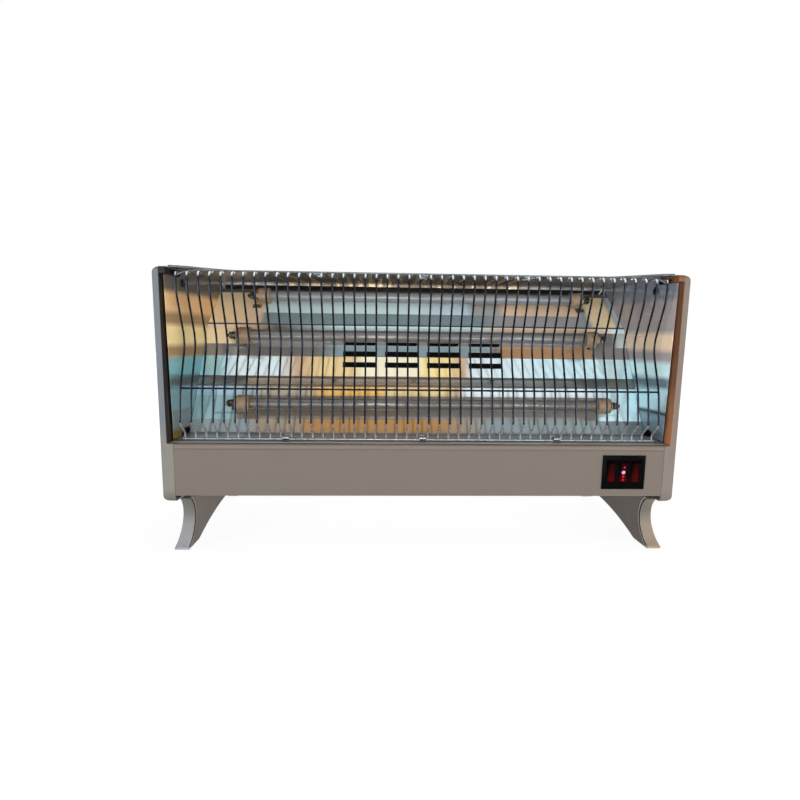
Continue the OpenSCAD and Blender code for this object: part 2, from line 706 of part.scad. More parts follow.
// Fan
module at_fan(s) placed() translate([fan_x, s, fan_z]) children();
module fan_plate() color("silver") {
    at_fan(plate_s) difference() {
        translate([-plate_w / 2, 0, floor_z - fan_z])
            cube([plate_w, plate_t, fan_z - floor_z + shroud_r + plate_rim]);
        translate([0, -over, 0]) along_y(2 * shroud_r, plate_t + 2 * over);
    }
    at_fan(plate_s) translate([-plate_w / 2, plate_t - 0.2, floor_z - fan_z])
        cube([plate_w, plate_foot, plate_t]);
}
module fan_shroud() color(black) at_fan(shroud_front) difference() {
    along_y(2 * (shroud_r + shroud_wall), plate_s - shroud_front);
    translate([0, -over, 0]) along_y(2 * shroud_r, plate_s - shroud_front + 2 * over);
}
module motor_strap() color("silver") at_fan(plate_s + plate_t) difference() {
    w = 2 * (shroud_r + strap_lap);
    translate([-w / 2, 0, -strap_w / 2]) cube([w, strap_t, strap_w]);
    translate([0, -over, 0]) along_y(shaft_d + 1, strap_t + 2 * over);
}
module fan_motor() color("dimgray") at_fan(motor_s) difference() {
    union() {
        along_y(motor_size[0], motor_size[1]);
        along_y(14, motor_size[1] + 3);
    }
    translate([0, -over, 0]) along_y(shaft_d + 2 * running_gap, motor_size[1] + 3 + 2 * over);
}
module fan_shaft() color("silver")
    at_fan(fan_front) along_y(shaft_d, motor_s - fan_front + motor_size[1] + 4);
module fan_impeller() color("whitesmoke") at_fan(fan_front) {
    chord = fan_depth / sin(blade_pitch);
    blade_t = 1.6;
    difference() {
        union() {
            along_y(hub_d, hub_len);
            intersection() {
                for (i = [0:blade_count - 1])
                    rotate([0, i * 360 / blade_count, 0]) translate([hub_d / 2 - 1, fan_depth / 2 + 1, 0])
                        rotate([blade_pitch, 0, 0]) translate([0, -blade_t / 2, -chord / 2 + 0.8])
                            cube([fan_d / 2, blade_t, chord - 1.6]);
                along_y(fan_d, hub_len);
            }
        }
        translate([0, -over, 0]) along_y(shaft_d, hub_len + 2 * over);
    }
}

// Fittings inside the case
module thermal_cutout() color(black) placed()
    translate([cutout_at[0], foot[0], foot[1]])
    rotate([-lower_lean, 0, 0]) translate([0, mirror_t, cutout_at[1]]) {
        along_y(cutout_d, 6);
        translate([-0.75 * cutout_d, 0, -4]) cube([1.5 * cutout_d, 1, 8]);
        for (x = [-5, 5])
            translate([x - 2, 5.5, -0.4]) cube([4, 7, 0.8]);
    }
module terminal_block() color("ivory") placed() {
    way = block_size[0] / 4;
    translate([block_at[0], block_at[1], floor_z]) difference() {
        cube(block_size);
        for (i = [1:3])
            translate([i * way - 0.6, -over, 5]) cube([1.2, block_size[1] + 2 * over, block_size[2]]);
        for (i = [0.5:3.5], y = [0.25, 0.75])
            translate([i * way, y * block_size[1], 9]) cylinder(d = 4, h = block_size[2]);
    }
}
module cord_gland() color(black) placed()
    translate([gland_x, 0, gland_place[1]]) difference() {
        union() {
            translate([0, body_d, 0]) along_y(gland_d, gland_out);
            translate([0, rear_y - gland_in, 0]) along_y(gland_d - 5.3, gland_in + sheet + over);
            translate([0, rear_y - gland_in, 0]) along_y(gland_d - 2, gland_in - 0.1);
        }
        translate([0, rear_y - gland_in - over, 0]) along_y(gland_bore, 2 * gland_in + gland_out);
    }

// Legs
module leg_outline() difference() {
    c = front_curve[0];
    polygon(concat([[leg_back, 0], [leg_back, tray_z], [leg_slot, tray_z], [leg_slot, leg_top]],
        arc(c, front_curve[1], bearing(c, [0, leg_top]), bearing(c, [-toe_ahead, toe_r]), 24),
        arc([toe_r - toe_ahead, toe_r], toe_r, 190, 270, 5)));
    intersection() {
        translate(arch_centre) circle(r = arch_r, $fn = 180);
        translate([0, -over]) square([foot_s, tray_z]);
    }
}
module leg_pocket() difference() {
    union() {
        translate([0, leg_wall]) square([foot_s - leg_wall, leg_top - 2 * leg_wall]);
        translate([leg_slot + leg_wall, leg_wall])
            square([foot_s - leg_slot - 2 * leg_wall, tray_z - 2 * leg_wall]);
    }
    translate(front_curve[0]) circle(r = front_curve[1] + leg_wall, $fn = 90);
    translate(arch_centre) circle(r = arch_r + leg_wall, $fn = 180);
}
module leg() {
    outer = leg_inner + leg_w;
    difference() {
        intersection() {
            across(body_w) leg_outline();
            translate([0, body_d, 0]) rotate([90, 0, 0]) linear_extrude(body_d + 2 * toe_ahead)
                polygon([[leg_inner, tray_z], [leg_inner + 2.5, 0], [outer + leg_flare, 0], [outer, tray_z]]);
        }
        translate([outer - leg_wall - body_w / 2, 0, 0]) across(body_w) leg_pocket();
        for (s = LEG_SCREWS)
            translate([leg_screw_x, s, leg_top]) cylinder(d = screw_hole, h = tray_z);
    }
}
module leg_right() color(cream) placed() leg();
module leg_left() color(cream) placed() mirror([1, 0, 0]) leg();
module leg_screws() color("silver") placed() both_sides()
    for (s = LEG_SCREWS)
        translate([leg_screw_x, s, tray_z - leg_wall]) mirror([0, 0, 1]) screw_up(leg_wall + sheet + 1);
module case_screws() color("silver") placed() both_sides()
    for (z = CASE_SCREWS)
        translate([case_screw_x, body_d, z]) rotate([-90, 0, 0]) screw_up(4);

end_cap_left();
end_cap_right();
front_panel();
base_tray();
rear_cover();
reflector_back();
reflector_top();
reflector_side_left();
reflector_side_right();
front_grille();
grille_rails();
grille_clips();
grille_screws();
reflector_screws();
heating_tube_top();
heating_tube_middle();
heating_tube_bottom();
resistance_cores();
ceramic_ends();
tube_terminals();
tube_brackets();
switch_bezel();
switch_body();
switch_tabs();
rocker_left();
rocker_centre();
rocker_right();
fan_plate();
fan_shroud();
motor_strap();
fan_motor();
fan_shaft();
fan_impeller();
thermal_cutout();
terminal_block();
cord_gland();
leg_left();
leg_right();
leg_screws();
case_screws();
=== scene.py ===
"""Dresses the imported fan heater: bent wires, tinted mirror sheets, ceramic tube ends, plastic and paint.

Tables give places in millimetres: across the heater, behind its front plane and above the floor.
"""

import math

import bmesh
import bpy
from mathutils import Matrix, Vector


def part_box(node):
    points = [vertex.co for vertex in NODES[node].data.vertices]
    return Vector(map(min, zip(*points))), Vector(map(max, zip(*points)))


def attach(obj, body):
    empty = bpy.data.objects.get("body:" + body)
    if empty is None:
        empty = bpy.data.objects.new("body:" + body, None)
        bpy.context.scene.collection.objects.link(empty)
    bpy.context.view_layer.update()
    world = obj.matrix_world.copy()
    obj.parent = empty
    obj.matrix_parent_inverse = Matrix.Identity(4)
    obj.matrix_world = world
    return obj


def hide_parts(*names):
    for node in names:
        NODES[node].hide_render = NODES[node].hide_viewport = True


bl_info = {
    "name": "Fan heater",
    "version": (1, 0, 0),
    "blender": (4, 5, 0),
    "location": "3D View > Sidebar > Heater",
    "description": "Dresses the packed fan heater and sets its stage",
    "category": "Object",
}

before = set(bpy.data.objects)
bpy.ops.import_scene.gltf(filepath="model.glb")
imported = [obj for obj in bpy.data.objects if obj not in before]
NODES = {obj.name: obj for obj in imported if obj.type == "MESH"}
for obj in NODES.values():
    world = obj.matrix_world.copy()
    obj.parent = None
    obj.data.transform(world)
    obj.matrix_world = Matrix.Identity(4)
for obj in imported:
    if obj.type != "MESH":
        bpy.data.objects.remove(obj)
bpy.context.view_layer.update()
MM = 0.001
# The plane of the end caps' front edges
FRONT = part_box("end_cap_left")[0].y
GRILLE_LOW, GRILLE_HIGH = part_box("front_grille")
# Heights in metres of the painted highlight along the panel's top lip and of the painted shade in the crease
# under it
PANEL_LIP_HIGHLIGHT, PANEL_CREASE_SHADE = (0.1082, 0.1116), (0.1066, 0.107)
# The end caps' inner walls above the panel, with painted shade on the left and a painted brown reflection on
# the right, in metres: their place across, their heights and the setbacks of their end
CAP_WALL_FACE, CAP_WALL_HEIGHTS, CAP_WALL_END = 0.2632, (0.1126, 0.289), (0.07, 0.09)
# Half the width in metres over which the painted cool light at the left of the mouldings turns into the
# painted warm light at the right
SIDE_BLEND = 0.1
# Over how many metres a sharp change of tint blurs
EDGE_BLUR = 0.0004
# Edges that turn by more than this many degrees are crisp
CREASE = 35.0
# The thickness of brackets and plates of sheet, in metres
SHEET = 1.0 * MM
# Points closer than this many metres are one, in a piece made here and in a CAD mesh
SAME_POINT, SAME_CAD_POINT = 1e-6, 1e-5
# The lengths that a bend of a rod is made of, and the share of a slab's thickness that its broken edges take
BEND_STEPS, BROKEN_SHARE = 5, 0.25


def display(red, green, blue):
    """A colour as it shows on a screen, from 0 to 255, turned into the linear values that Blender uses."""
    return tuple(
        (c / 255 / 12.92) if c / 255 <= 0.04045 else ((c / 255 + 0.055) / 1.055) ** 2.4
        for c in (red, green, blue)
    )


def colour_property(name, description, default):
    return bpy.props.FloatVectorProperty(
        name=name, description=description, subtype="COLOR", size=3, min=0.0, max=1.0, default=default
    )


def length_property(name, description, default, smallest, largest):
    return bpy.props.FloatProperty(
        name=name, description=description, unit="LENGTH", default=default, min=smallest, max=largest
    )


class HeaterSizes(bpy.types.PropertyGroup):
    """Sizes of the pieces that are made here."""

    wire_thickness: length_property("Wire thickness", "Diameter of an upright wire", 0.002, 0.001, 0.003)
    rail_thickness: length_property("Rail thickness", "Diameter of the three rails", 0.002, 0.001, 0.004)
    wire_count: bpy.props.IntProperty(
        name="Wires", description="Number of upright wires", default=46, min=10, max=60
    )
    moulded_edge: length_property("Moulded edge", "Rounding of moulded edges", 0.0007, 0.0001, 0.002)
    switch_edge: length_property("Switch edge", "Rounding of the switch's edges", 0.0005, 0.0001, 0.001)
    strap_width: length_property("Strap width", "Width of a tube's supporting strap", 0.007, 0.003, 0.012)
    # The groove is a dark rod of painted shadow
    groove: length_property("Leg groove", "Width of the dark groove along a leg", 0.0018, 0.0008, 0.003)
    # The rim is a rod with a painted highlight
    rim: length_property("Leg rim", "Width of the bright rim beside the groove", 0.0013, 0.0006, 0.003)


class HeaterColours(bpy.types.PropertyGroup):
    """Colours of the finishes."""

    moulding: colour_property("Moulding", "End caps and legs", display(122, 119, 115))
    # Painted shade: the near-black that stands for the shadow on the left end cap's inner wall
    cavity: colour_property("Cavity", "Inner wall of the left end cap", display(30, 24, 22))
    # Painted reflection: the brown on the right end cap's inner wall
    wall_reflection: colour_property("Warm cavity", "Inner wall of the right end cap", display(124, 80, 52))
    plate: colour_property("Plate", "Inner plates of the legs", display(100, 88, 79))
    # Painted highlight: the pale tone of the rims along the legs
    rim: colour_property("Rim", "Rims along the legs", display(184, 176, 168))
    paint: colour_property("Paint", "Front panel and rear cover", display(110, 101, 94))
    # Painted reflection: the wires' dark tone stands for the dark room that their plating mirrors
    wire: colour_property("Wire", "Darkened plating of the wires", display(30, 34, 42))
    # Painted highlight on the wires' hooks; the screws also turn to it higher up
    bright: colour_property("Bright plating", "Plating where it is rubbed bright", display(226, 232, 236))
    tube: colour_property("Tube", "Frosted lower heating tubes", display(85, 80, 76))
    # Painted light: the paler tone of the upper tube
    upper_tube_light: colour_property("Pale tube", "Frosted upper heating tube", display(130, 134, 138))
    ceramic: colour_property("Ceramic", "Tube ends", display(158, 136, 110))
    rocker: colour_property("Rocker", "Red rockers", display(66, 3, 5))


class Socket:
    """A value in a shader, so that shader maths reads as plain expressions."""

    def __init__(self, tree, socket):
        self.tree = tree
        self.socket = socket

    def maths(self, operation, *operands):
        return add_node(self.tree, "ShaderNodeMath", {"operation": operation}, dict(enumerate(operands)))

    def __add__(self, other):
        return self.maths("ADD", self, other)

    __radd__ = __add__

    def __mul__(self, other):
        return self.maths("MULTIPLY", self, other)

    __rmul__ = __mul__

    def __sub__(self, other):
        return self.maths("SUBTRACT", self, other)

    def __rsub__(self, other):
        return self.maths("SUBTRACT", other, self)

    def __abs__(self):
        return self.maths("ABSOLUTE", self)


def add_node(tree, kind, settings=None, inputs=None, output=0):
    """Add a node, its settings first, fill its sockets and return one of its outputs."""
    node = tree.nodes.new(kind)
    for key, value in (settings or {}).items():
        if key == "stops":
            fill_ramp(node.color_ramp, value)
        else:
            setattr(node, key, value)
    for key, value in (inputs or {}).items():
        if isinstance(value, Socket):
            tree.links.new(value.socket, node.inputs[key])
        else:
            node.inputs[key].default_value = value
    return Socket(tree, node.outputs[output])


def fill_ramp(ramp, stops):
    """Fill a colour ramp from (position, colour) stops; a colour's fourth value goes to the alpha output."""
    while len(ramp.elements) < len(stops):
        ramp.elements.new(1.0)
    for element, (position, colour) in zip(ramp.elements, stops):
        element.position = position
        element.color = tuple(colour) if len(colour) == 4 else opaque(colour)


def opaque(colour):
    return (*tuple(colour)[:3], 1.0)


class Finish:
    """A surface finish that reads the object's own coordinates."""

    def __init__(self, name, **fixed):
        self.material = bpy.data.materials.new(name)
        self.material.use_nodes = True
        self.tree = self.material.node_tree
        self.tree.nodes.clear()
        self.output = self.tree.nodes.new("ShaderNodeOutputMaterial")
        self.shader = self.tree.nodes.new("ShaderNodeBsdfPrincipled")
        self.tree.links.new(self.shader.outputs[0], self.output.inputs["Surface"])
        self.place = self.add("ShaderNodeTexCoord", output="Object")
        self.x, self.y, self.z = (
            self.add("ShaderNodeSeparateXYZ", inputs={0: self.place}, output=axis) for axis in "XYZ"
        )
        self.set(**fixed)

    def add(self, kind, settings=None, inputs=None, output=0):
        return add_node(self.tree, kind, settings, inputs, output)

    def set(self, **values):
        """Fill sockets of the main shader; an underscore stands for a space."""
        for key, value in values.items():
            target = self.shader.inputs[key.replace("_", " ")]
            if isinstance(value, Socket):
                self.tree.links.new(value.socket, target)
            elif target.type == "RGBA":
                target.default_value = opaque(value)
            else:
                target.default_value = value
        return self

    def noise(self, scale, detail=2.0, stretch=(1.0, 1.0, 1.0)):
        """Cloudy noise between 0 and 1; scale counts the patches in a metre."""
        spread = self.add("ShaderNodeVectorMath", {"operation": "MULTIPLY"}, {0: self.place, 1: stretch})
        return self.add("ShaderNodeTexNoise", inputs={"Vector": spread, "Scale": scale, "Detail": detail})

    def between(self, value, low, high, start=0.0, end=1.0):
        """Rise smoothly from start to end while value goes from low to high."""
        return self.add(
            "ShaderNodeMapRange",
            {"interpolation_type": "SMOOTHSTEP"},
            {"Value": value, "From Min": low, "From Max": high, "To Min": start, "To Max": end},
        )

    def ramp(self, value, stops):
        """Tint and polish by a place in metres, from (place in millimetres, tint with its polish) stops."""
        low, high = stops[0][0], stops[-1][0]
        span = {"Value": value, "From Min": low * MM, "From Max": high * MM}
        along = self.add("ShaderNodeMapRange", inputs=span)
        placed = [((place - low) / (high - low), tint) for place, tint in stops]
        tone = self.add("ShaderNodeValToRGB", {"stops": placed}, {0: along})
        return tone, Socket(self.tree, tone.socket.node.outputs["Alpha"])

    def band(self, value, low, high, soft):
        """1 between low and high, fading to 0 over a soft edge."""
        return self.between(value, low - soft, low) * self.between(value, high, high + soft, 1.0, 0.0)

    def mix(self, factor, first, second, blend="MIX"):
        values = {0: factor, 6: first, 7: second}
        for key in (6, 7):
            if not isinstance(values[key], Socket):
                values[key] = opaque(values[key])
        return self.add("ShaderNodeMix", {"data_type": "RGBA", "blend_type": blend}, values, output=2)

    def shade(self, colour, amount):
        """Multiply a colour by a grey amount."""
        grey = self.add("ShaderNodeCombineColor", inputs={0: amount, 1: amount, 2: amount})
        return self.mix(1.0, colour, grey, "MULTIPLY")

    def bump(self, height, depth, strength):
        """Tilt the surface by a height between 0 and 1 that stands for a depth in metres."""
        sockets = {"Strength": strength, "Distance": depth, "Height": height}
        return self.set(Normal=self.add("ShaderNodeBump", inputs=sockets))


# Tints of painted light on the left and the right mouldings by height: cooler light at the left, warmer at
# the right
LEFT_MOULDING_LIGHT = (
    (0, display(178, 179, 186)), (14, display(150, 149, 151)), (36, display(106, 103, 97)),
    (56, display(99, 97, 89)), (64, display(126, 123, 113)), (110, display(124, 120, 114)),
    (140, display(102, 108, 116)), (290, display(106, 112, 121)),
)
RIGHT_MOULDING_LIGHT = (
    (0, display(180, 160, 136)), (16, display(150, 134, 117)), (38, display(102, 98, 88)),
    (56, display(112, 104, 98)), (64, display(123, 112, 103)), (140, display(112, 100, 93)),
    (290, display(116, 102, 91)),
)


def moulded_finish(name, colour, wall_shade_and_reflection, shaded=0.0):
    """Grained plastic with a faint mottle, painted cool and warm light on its left and right sides by height,
    and painted shade and reflection on the inner walls above the panel.

    shaded, from 0 to 1, makes a bare plate instead, with painted shade that deepens towards the rear by that
    much and a little more on the right.
    """
    finish = Finish(name, IOR=1.46, Specular_IOR_Level=0.3)
    mottle = finish.noise(14.0, 3.0)
    speck = finish.noise(900.0, 2.0)
    warm = finish.between(finish.x, -SIDE_BLEND, SIDE_BLEND)
    if shaded:
        # Painted shade on a plate: darker towards the rear and on the right
        shadow = finish.between(finish.y, FRONT + 0.01, FRONT + 0.13, 1.0, 1.0 - shaded)
        tone = finish.shade(colour, shadow * (1.0 - warm * 0.16))
    else:
        # Ramps of painted light by height, cool at the left and warm at the right
        sides = (finish.ramp(finish.z, stops)[0] for stops in (LEFT_MOULDING_LIGHT, RIGHT_MOULDING_LIGHT))
        tone = finish.mix(0.8, colour, finish.mix(warm, *sides))
    tone = finish.shade(tone, 0.9 + mottle * 0.14 + speck * 0.05)
    # The inner walls take painted shade at the left and a painted reflection at the right, made paler low
    # down
    wall = finish.mix(warm, *wall_shade_and_reflection)
    inside = finish.between(abs(finish.x), CAP_WALL_FACE, CAP_WALL_FACE + EDGE_BLUR, 1.0, 0.0)
    inside = inside * finish.band(finish.z, *CAP_WALL_HEIGHTS, EDGE_BLUR)
    inside = inside * finish.between(finish.y, *(FRONT + setback for setback in CAP_WALL_END), 1.0, 0.0)
    wall = finish.shade(wall, finish.between(finish.z, 0.12, 0.2, 2.2, 1.0))
    tone = finish.mix(inside, tone, wall)
    finish.set(Base_Color=tone, Roughness=0.4 + finish.noise(70.0) * 0.16)
    return finish.bump(finish.noise(1500.0, 3.0), 0.00006, 0.6).material


def painted_finish(name, colour, edge, edge_depth):
    """Sprayed paint on sheet steel, with orange peel, worn to the steel at the front edge, and with a painted
    highlight along a lip and painted shade in a crease at the height of the panel's top.
    """
    finish = Finish(name, IOR=1.5, Specular_IOR_Level=0.3, Coat_Roughness=0.25)
    mottle = finish.noise(9.0, 2.0)
    fleck = finish.noise(1800.0, 1.0)
    second_tone = finish.between(finish.y, FRONT + edge_depth, FRONT + edge_depth + 0.001, 1.0, 0.0)
    # Painted highlight along the panel's top lip and painted shade in the crease under it
    lip = finish.band(finish.z, *PANEL_LIP_HIGHLIGHT, EDGE_BLUR) * 0.16
    crease_shade = finish.band(finish.z, *PANEL_CREASE_SHADE, EDGE_BLUR) * 0.4
    tone = finish.shade(finish.mix(second_tone, colour, edge), 0.91 + mottle * 0.12 + fleck * 0.06 + lip - crease_shade)
    finish.set(Base_Color=tone, Roughness=0.34 + mottle * 0.12 + second_tone * 0.3)
    finish.set(Coat_Weight=(0.06 + mottle * 0.08) * (1.0 - second_tone))
    return finish.bump(finish.noise(520.0, 2.0), 0.00005, 0.5).material


def polished(red, green, blue, polish=0.4):
    """A tint of painted light on the mirror sheet and, from 0 to 1, how much of the light it mirrors there.
    """
    return (*display(red, green, blue), polish)


# Tints of painted reflection and shade on the sheets where they are in full light
INK = polished(40, 42, 46, 0.2)
SMOKE = polished(142, 139, 136, 0.35)
DUSK = polished(130, 124, 116, 0.35)
SLATE = polished(116, 128, 132, 0.4)
RIB = polished(133, 119, 103, 0.3)
COOL_RIB = polished(107, 114, 112, 0.3)
ORANGE = polished(174, 130, 75, 0.35)
GOLD = polished(255, 230, 158, 0.35)
STRAW = polished(238, 210, 152, 0.4)
PEACH = polished(206, 172, 138, 0.4)
ICE = polished(214, 246, 255, 0.4)
STEEL_BLUE = polished(166, 200, 220, 0.45)
WHITE = polished(224, 240, 246, 0.5)
TEAL = polished(146, 180, 186, 0.4)
MIST = polished(138, 153, 156, 0.4)
EARTH = polished(126, 117, 103, 0.35)
OCHRE = polished(236, 189, 105, 0.4)
UMBER = polished(140, 110, 64, 0.4)
LOAM = polished(155, 139, 121, 0.4)
CLAY = polished(176, 166, 146, 0.4)
CREAM = polished(255, 246, 214, 0.1)
AQUA = polished(170, 216, 228, 0.45)
PALE = polished(232, 246, 250, 0.5)
AMBER = polished(190, 150, 112, 0.2)
# The upper facet and the side sheets lie half in the shade, so their tints of painted light are paler and
# less polished
HIGH_ICE = polished(228, 253, 255, 0.0)
HIGH_BLUE = polished(224, 242, 255, 0.0)
HIGH_SLATE = polished(146, 166, 172, 0.1)
HIGH_ROSE = polished(178, 176, 180, 0.1)
HIGH_DUSK = polished(196, 196, 194, 0.1)
HIGH_ORANGE = polished(255, 222, 188, 0.0)
HIGH_GOLD = polished(255, 230, 186, 0.0)
HIGH_PEACH = polished(242, 214, 186, 0.0)
WALL_GOLD = polished(255, 232, 172, 0.0)
WALL_PEACH = polished(250, 204, 150, 0.1)
WALL_TAN = polished(178, 150, 112, 0.15)
WALL_TEAL = polished(133, 187, 193, 0.3)
WALL_ICE = polished(232, 255, 255, 0.2)
WALL_DUSK = polished(187, 176, 174, 0.15)
WALL_SLATE = polished(161, 164, 172, 0.3)
WALL_STEEL = polished(142, 166, 176, 0.4)
# How far one band of tint runs into the next on the back sheet and on the side sheets
BLUR, SIDE_BLUR = 0.7, 3.0
# How high the lowest band of a sheet is, and the setback where the bands of the foot start
LOWEST_BAND, FLANGE_START = 8.0, 2.0
# Heights in metres between which the back sheet's foot starts
FOOT_FOLD = 0.1172, 0.1178


def banded(bands, start, blur):
    """Stops of a ramp whose colours, each (end in millimetres, tint), run into each other over a blur."""
    stops = []
    for end, tint in bands:
        inset = min(blur, (end - start) / 3)
        stops += [(start + inset, tint), (end - inset, tint)]
        start = end
    return stops


def mirror_finish(name, bands, rows=(), flange=None, vents=None, blur=BLUR):
    """Rolled mirror sheet with painted reflections in gold, peach and blue and painted shade in dark lines,
    in bands along the tubes.

    bands are (top height, tint) from the lowest upwards. A row (low, high, stops) lays a run of tints
    across the heater over the bands between two heights. flange holds bands by setback for the sheet's
    foot, and vents the heights, the middles and the half size of air slots with painted shade round their
    edges.
    """
    finish = Finish(name)
    drift = finish.noise(7.0, 2.0) * 0.003 - 0.0015
    tone, polish = finish.ramp(finish.z + drift * 0.3, banded(bands, bands[0][0] - LOWEST_BAND, blur))
    for low, high, stops in rows:
        run, run_polish = finish.ramp(finish.x + drift * 3, stops)
        inside = finish.band(finish.z + drift * 0.3, low * MM, high * MM, BLUR * MM)
        tone = finish.mix(inside, tone, run)
        polish = polish + (run_polish - polish) * inside
    if flange:
        fold, fold_polish = finish.ramp(finish.y - FRONT, banded(flange, FLANGE_START, blur))
        inside = finish.between(finish.z, *FOOT_FOLD, 1.0, 0.0)
        tone = finish.mix(inside, tone, fold)
        polish = polish + (fold_polish - polish) * inside
    rolled = finish.noise(60.0, 3.0, (0.06, 1.0, 1.0))
    wiped = finish.noise(30.0, 4.0, (1.0, 0.5, 0.5))
    tone = finish.shade(tone, 0.88 + rolled * 0.14 + wiped * 0.12)
    # Painted shade round the edges of the air slots
    if vents:
        heights, middles, (half_x, half_z) = vents
        across = sum(finish.band(finish.x, (x - half_x) * MM, (x + half_x) * MM, EDGE_BLUR) for x in middles)
        up = sum(finish.band(finish.z, (z - half_z) * MM, (z + half_z) * MM, 0.0003) for z in heights)
        tone = finish.mix(across * up, tone, INK)
    finish.set(Base_Color=tone, Metallic=polish, Roughness=0.03 + rolled * 0.05 + wiped * 0.03)
    return finish.bump(finish.noise(16.0, 0.0, (0.3, 1.0, 1.0)), 0.0002, 0.4).material


def lid_finish():
    """The underside of the top sheet in painted light: painted shade in grey at its front lip, and painted
    reflections streaked with straw behind the wires.
    """
    finish = Finish("mirror sheet top")
    streaks = finish.noise(150.0, 2.0, (1.0, 0.05, 0.05))
    # Painted reflections: grey at the ends, brownish in the middle, with straw streaks
    middle = finish.band(finish.x, -0.15, 0.12, 0.05)
    streaked = finish.between(streaks, 0.52, 0.6) * (0.3 + middle * 0.7)
    dull = finish.mix(middle, display(150, 153, 156), display(134, 122, 108))
    tone = finish.mix(streaked, dull, display(214, 190, 156))
    # Painted shade on the front lip
    lip = finish.between(finish.y, FRONT + 0.021, FRONT + 0.024, 1.0, 0.0)
    tone = finish.mix(lip, tone, display(98, 102, 110))
    grain = finish.noise(60.0, 3.0)
    finish.set(Base_Color=finish.shade(tone, 0.9 + grain * 0.2), Metallic=(0.3 + grain * 0.1) * (1.0 - lip))
    finish.set(Roughness=0.16 + grain * 0.1)
    return finish.bump(grain, 0.00005, 0.3).material


def plated_finish(name, dull, bright, second_from, second_to, foot_from=0.0, foot_to=0.001):
    """Dark plating that turns to a second tone above a height and to grey below another."""
    finish = Finish(name)
    second_tone = finish.between(finish.z, second_from, second_to)
    foot = finish.between(finish.z, foot_from, foot_to, 1.0, 0.0)
    grain = finish.noise(240.0, 3.0)
    tone = finish.mix(second_tone * (0.75 + grain * 0.25), dull, bright)
    tone = finish.mix(foot, tone, display(150, 147, 150))
    tone = finish.shade(tone, 0.82 + grain * 0.3)
    finish.set(Base_Color=tone, Metallic=1.0 - foot * 0.6, Roughness=0.2 + grain * 0.16)
    return finish.bump(finish.noise(900.0), 0.00003, 0.4).material


def zinc_finish():
    """Galvanised sheet with a faint spangle."""
    finish = Finish("zinc sheet", Metallic=0.9)
    cells = {"Vector": finish.place, "Scale": 130.0}
    spangle = finish.add("ShaderNodeTexVoronoi", inputs=cells, output="Color")
    tone = finish.mix(0.2, display(166, 168, 170), spangle, "SOFT_LIGHT")
    streak = finish.noise(20.0, 3.0, (0.3, 1.0, 1.0))
    finish.set(Base_Color=finish.shade(tone, 0.8 + streak * 0.3), Roughness=0.3 + streak * 0.2)
    return finish.bump(finish.noise(300.0), 0.00003, 0.4).material


def frosted_finish(low_colour, high_colour, half_length):
    """Frosted quartz that shows its coil faintly, browner towards its ends, and with painted light that makes
    the upper tube paler.
    """
    finish = Finish("frosted quartz", IOR=1.46, Coat_Roughness=0.12)
    brown_share = finish.between(abs(finish.x), half_length - 0.03, half_length)
    cloud = finish.noise(26.0, 3.0, (0.35, 1.0, 1.0))
    turns = {"Vector": finish.place, "Scale": 105.0, "Distortion": 0.4}
    coil = finish.add("ShaderNodeTexWave", {"bands_direction": "X"}, turns)
    colour = finish.mix(finish.between(finish.z, 0.2, 0.27), low_colour, high_colour)
    tone = finish.mix(brown_share * 0.5, colour, display(104, 80, 58))
    tone = finish.shade(tone, 0.86 + cloud * 0.22 + coil * 0.06)
    finish.set(Base_Color=tone, Roughness=0.3 + cloud * 0.1, Coat_Weight=0.7 + cloud * 0.1)
    return finish.bump(finish.noise(1200.0), 0.00004, 0.5).material


def glazed_finish(colour):
    """Glazed ceramic with brown firing marks."""
    finish = Finish("glazed ceramic", IOR=1.5)
    fired = finish.noise(190.0, 4.0)
    marks = finish.between(fired, 0.5, 0.72)
    # Browner below the upper tube
    brown_share = finish.between(finish.z, 0.24, 0.26, 0.35, 0.0)
    tone = finish.mix(marks * 0.5 + brown_share, colour, display(104, 74, 48))
    finish.set(Base_Color=finish.shade(tone, 0.85 + finish.noise(60.0) * 0.25), Roughness=0.34 + marks * 0.3)
    return finish.bump(finish.noise(700.0), 0.00005, 0.5).material


def oxidised_finish(name, bare, oxide, cover):
    """Bare metal with patches of oxide."""
    finish = Finish(name)
    patches = finish.noise(260.0, 4.0)
    rust = finish.between(patches, cover - 0.08, cover + 0.08)
    tone = finish.mix(rust, bare, oxide)
    finish.set(Base_Color=tone, Metallic=0.95 - rust * 0.45, Roughness=0.26 + rust * 0.34)
    return finish.bump(patches, 0.0001, 0.5).material


def plain_plastic(name, colour, gloss, grain, shine=0.2):
    """Dark or pale moulded plastic for small fittings."""
    finish = Finish(name, IOR=1.48, Specular_IOR_Level=shine)
    mottle = finish.noise(80.0, 3.0)
    finish.set(Base_Color=finish.shade(colour, 0.86 + mottle * 0.28), Roughness=gloss + mottle * 0.12)
    return finish.bump(finish.noise(grain), 0.00004, 0.4).material


# Height over the rocker's middle, radius and tint of the round marks on the middle rocker, in metres: the
# pale first one is a painted glint, the red ones are marks
GLINT_AND_MARKS = (
    (0.0, 0.0024, display(206, 160, 196)), (0.0058, 0.0013, display(196, 40, 44)),
    (-0.0046, 0.0013, display(214, 44, 50)), (-0.0082, 0.0013, display(196, 36, 40)),
)


